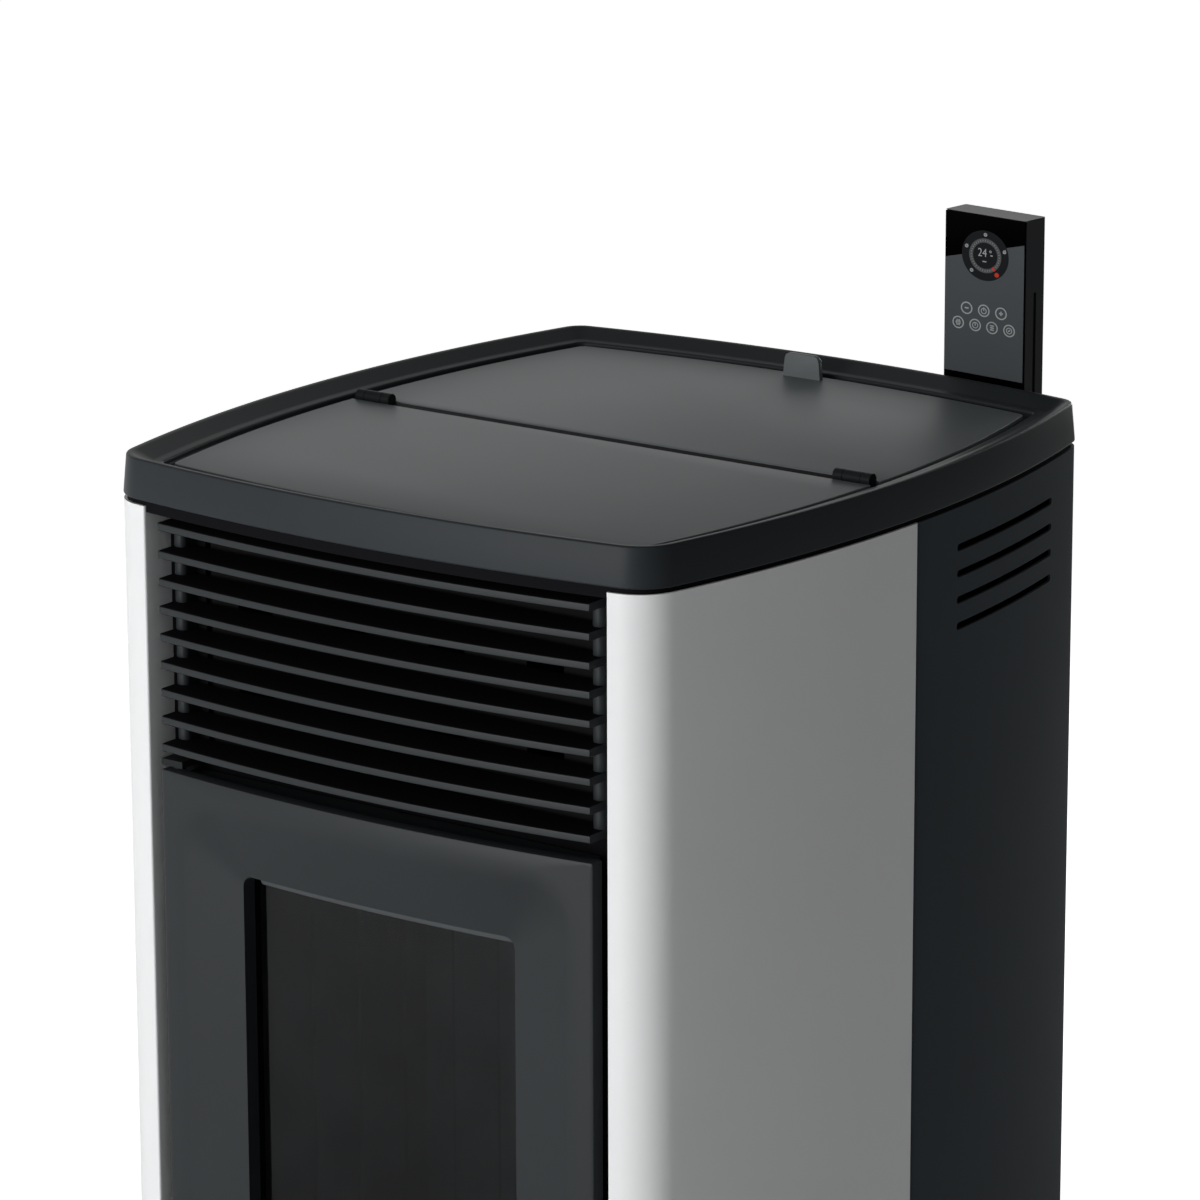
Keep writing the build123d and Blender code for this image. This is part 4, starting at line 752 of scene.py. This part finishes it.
# Ash drawer and lower fascia: the drawer front is a bowed casting with a round-ended hand
# slot, held by two lugs on a folded tray that slides on two runners. The fascia below is
# bowed sheet steel.
dress(galvanised, "ash_tray", "drawer_runners")
drawer_rings = [
    *casting_edge(154, 330), (175.6, 157.9, 326.1, FACE_OUT, 1.5, 1), (59.4, 283.6, 316.4, FACE_OUT, 16.3, 1),
    (57.4, 285.6, 314.4, FACE_OUT, 14.3, 1), (55.8, 287.2, 312.8, FACE_OUT - 0.6, 12.7, 1),
    (55, 288, 312, FACE_OUT - 2.2, 11.9, 1), (55, 288, 312, FACE_OUT - 10, 11.9, 1),
]
drawer = bowed_front(drawer_rings, True)
fitted("drawer_casting", drawer, iron_black, "ash_drawer", "iron_black", "ash_drawer_front")
fascia_rings = [
    (FRONT_HALF, 22, 150, FACE_OUT - 2, 1, 1), (FRONT_HALF, 22, 150, FACE_OUT - 0.6, 1, 1),
    (FRONT_HALF - 0.6, 22.6, 149.4, FACE_OUT, 1, 1),
]
fascia = bowed_front(fascia_rings, False)
for x in (-150, 150):
    bar(fascia, (x - 10, -275, 40), (x + 10, -248, 140), 1)
fitted("fascia_sheet", fascia, iron_black, "stove", "iron_black", "lower_fascia")

# Remote control and its holder: a moulded body with a gloss glass front that stands in a
# folded steel pocket on the back panel. The glass is black at the top; the grey below, with its
# slanted top edge, is a painted reflection. The dial shows a temperature, and seven touch
# marks are printed below it.
dress(moulded_black, "remote_control")
dress(dark_coat, "remote_holder")
remote_glass = painted("remote glass", (0.001, 0.001, 0.0015), 0.12, depth=0.0, mottle=0.3, shine=0.01)
glass_reflection_grey = painted("glass reflection grey", (0.082, 0.092, 0.098), 0.24, depth=0.0, mottle=0.02, shine=0.1)
dress(remote_glass, "remote_glass")
display_face = painted("display face", (0.016, 0.018, 0.020), 0.22, depth=0.0, shine=0.02)
lit_marks = painted("lit marks", (0.42, 0.44, 0.45), 0.4, depth=0.0)
red_marks = painted("red marks", (0.62, 0.05, 0.03), 0.4, depth=0.0)


DIAL = (0.6, 1157.4)
GLASS_OUT, REMOTE_TURN, REMOTE_PLACE = 11.5, -5.8, (125.4, 270.5, 0)


def on_remote(name, mesh, material):
    """Stand a flat drawing, x across and y up, against the remote's glass."""
    upright = Matrix.Rotation(math.pi / 2, 3, "X")
    turned_in = Matrix.Rotation(math.radians(REMOTE_TURN), 3, "Z")
    bmesh.ops.translate(mesh, verts=mesh.verts, vec=(0, 0, GLASS_OUT * MM))
    bmesh.ops.rotate(mesh, cent=(0, 0, 0), matrix=upright, verts=mesh.verts)
    bmesh.ops.rotate(mesh, cent=(0, 0, 0), matrix=turned_in, verts=mesh.verts)
    bmesh.ops.translate(mesh, verts=mesh.verts, vec=Vector(REMOTE_PLACE) * MM)
    return fitted(name, mesh, material, "remote", "gloss_black")


def ring(mesh, x, y, radius, width, height=0.08, steps=40):
    """Thin printed ring, a little wider than high; one as wide as its radius is a disc."""
    inner, outer = max(radius - width, 0.01), radius
    made = bmesh.new()
    turned(made, [(inner, 0), (outer, 0), (outer, height), (inner, height)], (0, 0, 0), (0, 0, 1), steps)
    bmesh.ops.scale(made, vec=(1.17, 1, 1), verts=made.verts)
    bmesh.ops.translate(made, vec=(x * MM, y * MM, 0), verts=made.verts)
    pour(made, mesh)


def stroke(mesh, x, y, length, angle, width=0.7, height=0.08):
    """Thin printed line through a point."""
    part = bmesh.ops.create_cube(mesh, size=MM)["verts"]
    bmesh.ops.scale(mesh, vec=(length, width, 2 * height), verts=part)
    bmesh.ops.rotate(mesh, cent=(0, 0, 0), matrix=Matrix.Rotation(math.radians(angle), 3, "Z"), verts=part)
    bmesh.ops.translate(mesh, vec=(x * MM, y * MM, 0), verts=part)


# A grey patch with a slanted top edge: a painted reflection on the remote's glass.
FIELD_SIZE, FIELD_MID_Y, FIELD_SLANT = (70, 89, 0.04), 1116.2, 0.24
field = bmesh.new()
panel = bmesh.ops.create_cube(field, size=MM)["verts"]
bmesh.ops.scale(field, vec=FIELD_SIZE, verts=panel)
bmesh.ops.translate(field, vec=(0, FIELD_MID_Y * MM, 0), verts=panel)
for vert in panel:
    if vert.co.y > FIELD_MID_Y * MM:
        vert.co.y += FIELD_SLANT * vert.co.x
on_remote("remote_touch_field", field, glass_reflection_grey)
dial = bmesh.new()
ring(dial, *DIAL, 17.8, 17.8, 0.06, steps=72)
on_remote("remote_dial", dial, display_face)
dial_ring = bmesh.new()
ring(dial_ring, *DIAL, 12.2, 2.9, steps=72)
dial_grey = painted("dial ring", (0.105, 0.110, 0.112), 0.4, depth=0.0, shine=0.02)
on_remote("remote_dial_ring", dial_ring, dial_grey)
marks = bmesh.new()
for tick in range(36):
    turn = math.radians(10 * tick)
    stroke(marks, DIAL[0] + 12.4 * math.cos(turn), DIAL[1] + 10.7 * math.sin(turn), 1.0, 10 * tick, 0.3, 0.1)
for x, y in ((0, 14.9), (-16.6, 5.1), (17.0, 4.7), (-11.9, -11.6)):
    ring(marks, DIAL[0] + x, DIAL[1] + y, 1.3, 0.6, steps=20)
    stroke(marks, DIAL[0] + x, DIAL[1] + y, 2.0, 45, 0.5)
stroke(marks, DIAL[0] - 16.0, DIAL[1] + 6.0, 1.4, 0, 0.6)
stroke(marks, DIAL[0] + 17.6, DIAL[1] + 5.8, 1.4, 90, 0.6)
for y, places in ((1118.2, (-15.3, 0, 15.3)), (1107, (-22.7, -7.5, 7.5, 22.7))):
    for x in places:
        ring(marks, x, y, 4.4, 0.85)
stroke(marks, -15.3, 1118.2, 3.4, 0, 1.0)
stroke(marks, 15.3, 1118.2, 3.4, 0, 1.1)
stroke(marks, 15.3, 1118.2, 3.2, 90, 1.1)
ring(marks, 0, 1118.0, 2.2, 0.6, steps=24)
stroke(marks, 0, 1119.4, 2.6, 90, 0.8)
ring(marks, -22.7, 1107, 1.9, 1.9, steps=24)
for angle in (0, 60, 120):
    stroke(marks, -22.7, 1107, 5.0, angle, 0.6)
ring(marks, -7.5, 1106.9, 2.3, 0.6, steps=24)
stroke(marks, -7.5, 1107.6, 2.4, 90, 0.8)
for up in (-1.5, 0, 1.5):
    stroke(marks, 7.5, 1107 + up, 3.6, 0, 0.8)
stroke(marks, 7.5, 1107, 4.0, 90, 0.7)
ring(marks, 22.7, 1107, 2.3, 0.6, steps=24)
stroke(marks, 22.7, 1107, 2.2, 30, 0.9)
digits = bpy.data.curves.new("digits", "FONT")
digits.body = "24"
digits.align_x, digits.align_y = "CENTER", "CENTER"
digits.size, digits.extrude = 8.2 * MM, 0.08 * MM
text = bpy.data.objects.new("digits", digits)
bpy.context.scene.collection.objects.link(text)
bpy.context.view_layer.update()
lettering = bpy.data.meshes.new_from_object(text.evaluated_get(bpy.context.evaluated_depsgraph_get()))
lettering.transform(Matrix.Translation(((DIAL[0] - 2.6) * MM, (DIAL[1] + 1.7) * MM, 0)))
bpy.data.objects.remove(text)
marks.from_mesh(lettering)
bpy.data.meshes.remove(lettering)
ring(marks, DIAL[0] + 4.6, DIAL[1] + 3.4, 0.9, 0.45, steps=16)
stroke(marks, DIAL[0] + 5.6, DIAL[1] + 0.6, 2.0, 0, 0.8)
stroke(marks, DIAL[0] - 0.6, DIAL[1] - 4.2, 3.4, 0, 0.8)
on_remote("remote_marks", marks, lit_marks)
warning = bmesh.new()
stroke(warning, DIAL[0] + 7.5, DIAL[1] - 8.6, 3.2, -48, 1.6, 0.11)
ring(warning, DIAL[0] + 10.4, DIAL[1] - 12.4, 1.7, 1.7, steps=20)
on_remote("remote_red_marks", warning, red_marks)

# Studio: a pale floor that keeps the stove's shadow, a large soft lamp at the front left, a
# weaker one behind, and a white surround. The camera sees it white all round; gloss finds it
# bright at the left, and dull at the right, above and on the floor close to the stove.
floor = bmesh.new()
bmesh.ops.create_grid(floor, x_segments=1, y_segments=1, size=9)
floor_mesh = bpy.data.meshes.new("studio_floor")
floor.to_mesh(floor_mesh)
floor.free()
studio_floor = bpy.data.objects.new("studio_floor", floor_mesh)
bpy.context.scene.collection.objects.link(studio_floor)


def surround_level(nodes, links, output, bright, spans):
    """One for the camera and through glass; for gloss, the product of ramps over a coordinate."""
    place = nodes.new("ShaderNodeTexCoord")
    ray = nodes.new("ShaderNodeLightPath")
    level = ray.outputs["Is Glossy Ray"]
    for operation, axis, start, end, low in spans:
        measure = nodes.new("ShaderNodeVectorMath")
        measure.operation = operation
        measure.inputs[1].default_value = axis
        links.new(place.outputs[output], measure.inputs[0])
        ramp = nodes.new("ShaderNodeMapRange")
        ramp.interpolation_type = "SMOOTHSTEP"
        falls = start < end
        ramp.inputs["From Min"].default_value = min(start, end)
        ramp.inputs["From Max"].default_value = max(start, end)
        ramp.inputs["To Min"].default_value = 1 if falls else low
        ramp.inputs["To Max"].default_value = low if falls else 1
        links.new(measure.outputs["Value"], ramp.inputs["Value"])
        share = nodes.new("ShaderNodeMath")
        share.operation = "MULTIPLY"
        links.new(level, share.inputs[0])
        links.new(ramp.outputs["Result"], share.inputs[1])
        level = share.outputs["Value"]
    for kind in ("Is Camera Ray", "Is Transmission Ray"):
        either = nodes.new("ShaderNodeMath")
        either.operation = "MAXIMUM"
        links.new(level, either.inputs[0])
        links.new(ray.outputs[kind], either.inputs[1])
        level = either.outputs["Value"]
    share = nodes.new("ShaderNodeMapRange")
    share.inputs["To Min"].default_value = bright[0]
    share.inputs["To Max"].default_value = bright[1]
    links.new(level, share.inputs["Value"])
    return share.outputs["Result"]


floor_finish = bpy.data.materials.new("studio floor")
floor_finish.use_nodes = True
nodes, links = floor_finish.node_tree.nodes, floor_finish.node_tree.links
nodes.remove(nodes["Principled BSDF"])
matt = nodes.new("ShaderNodeBsdfDiffuse")
matt.inputs["Color"].default_value = (0.95, 0.95, 0.95, 1)
glow = nodes.new("ShaderNodeEmission")
both = nodes.new("ShaderNodeAddShader")
floor_spans = (("DOT_PRODUCT", (0.94, 0.34, 0), -0.6, 1.4, 0.08), ("LENGTH", (0, 0, 0), 3.0, 0.8, 0.1))
links.new(surround_level(nodes, links, "Object", (0, 0.86), floor_spans), glow.inputs["Strength"])
links.new(matt.outputs["BSDF"], both.inputs[0])
links.new(glow.outputs["Emission"], both.inputs[1])
links.new(both.outputs["Shader"], nodes["Material Output"].inputs["Surface"])
floor_mesh.materials.append(floor_finish)

world = bpy.data.worlds.new("studio")
bpy.context.scene.world = world
world.use_nodes = True
nodes, links = world.node_tree.nodes, world.node_tree.links
surround = nodes["Background"]
surround.inputs["Color"].default_value = (1, 1, 1, 1)
world_spans = (("DOT_PRODUCT", (0.94, 0.34, 0), -0.1, 0.6, 0.08), ("DOT_PRODUCT", (0, 0, 1), 0.3, 0.6, 0.15))
links.new(surround_level(nodes, links, "Generated", (0.15, 1), world_spans), surround.inputs["Strength"])

lamp = bpy.data.lights.new("key", "AREA")
lamp.shape, lamp.size, lamp.energy = "DISK", 2.4, 91
key = bpy.data.objects.new("key", lamp)
key.location = (-0.75, -3.45, 1.25)
key.rotation_euler = (Vector((0, 0, 0.8)) - key.location).to_track_quat("-Z", "Y").to_euler()
bpy.context.scene.collection.objects.link(key)
back_lamp = bpy.data.lights.new("back", "AREA")
back_lamp.shape, back_lamp.size, back_lamp.energy = "DISK", 1.2, 28
back = bpy.data.objects.new("back", back_lamp)
back.location = (-0.45, 3.3, 1.25)
back.rotation_euler = (Vector((0, 0.25, 0.6)) - back.location).to_track_quat("-Z", "Y").to_euler()
bpy.context.scene.collection.objects.link(back)

lens = bpy.data.cameras.new("view")
lens.sensor_width, lens.lens = 36, 171.94
lens.shift_x, lens.shift_y = 0.0036, -0.0157
camera = bpy.data.objects.new("view", lens)
camera.location = (2.2435, -3.0494, 1.9531)
look = (Vector((0.0056, -0.0369, 0.9677)) - camera.location).to_track_quat("-Z", "Y")
camera.rotation_euler = (look.to_matrix() @ Matrix.Rotation(math.radians(-0.193), 3, "Z")).to_euler()
bpy.context.scene.collection.objects.link(camera)
bpy.context.scene.camera = camera
bpy.context.scene.view_settings.view_transform = "Standard"
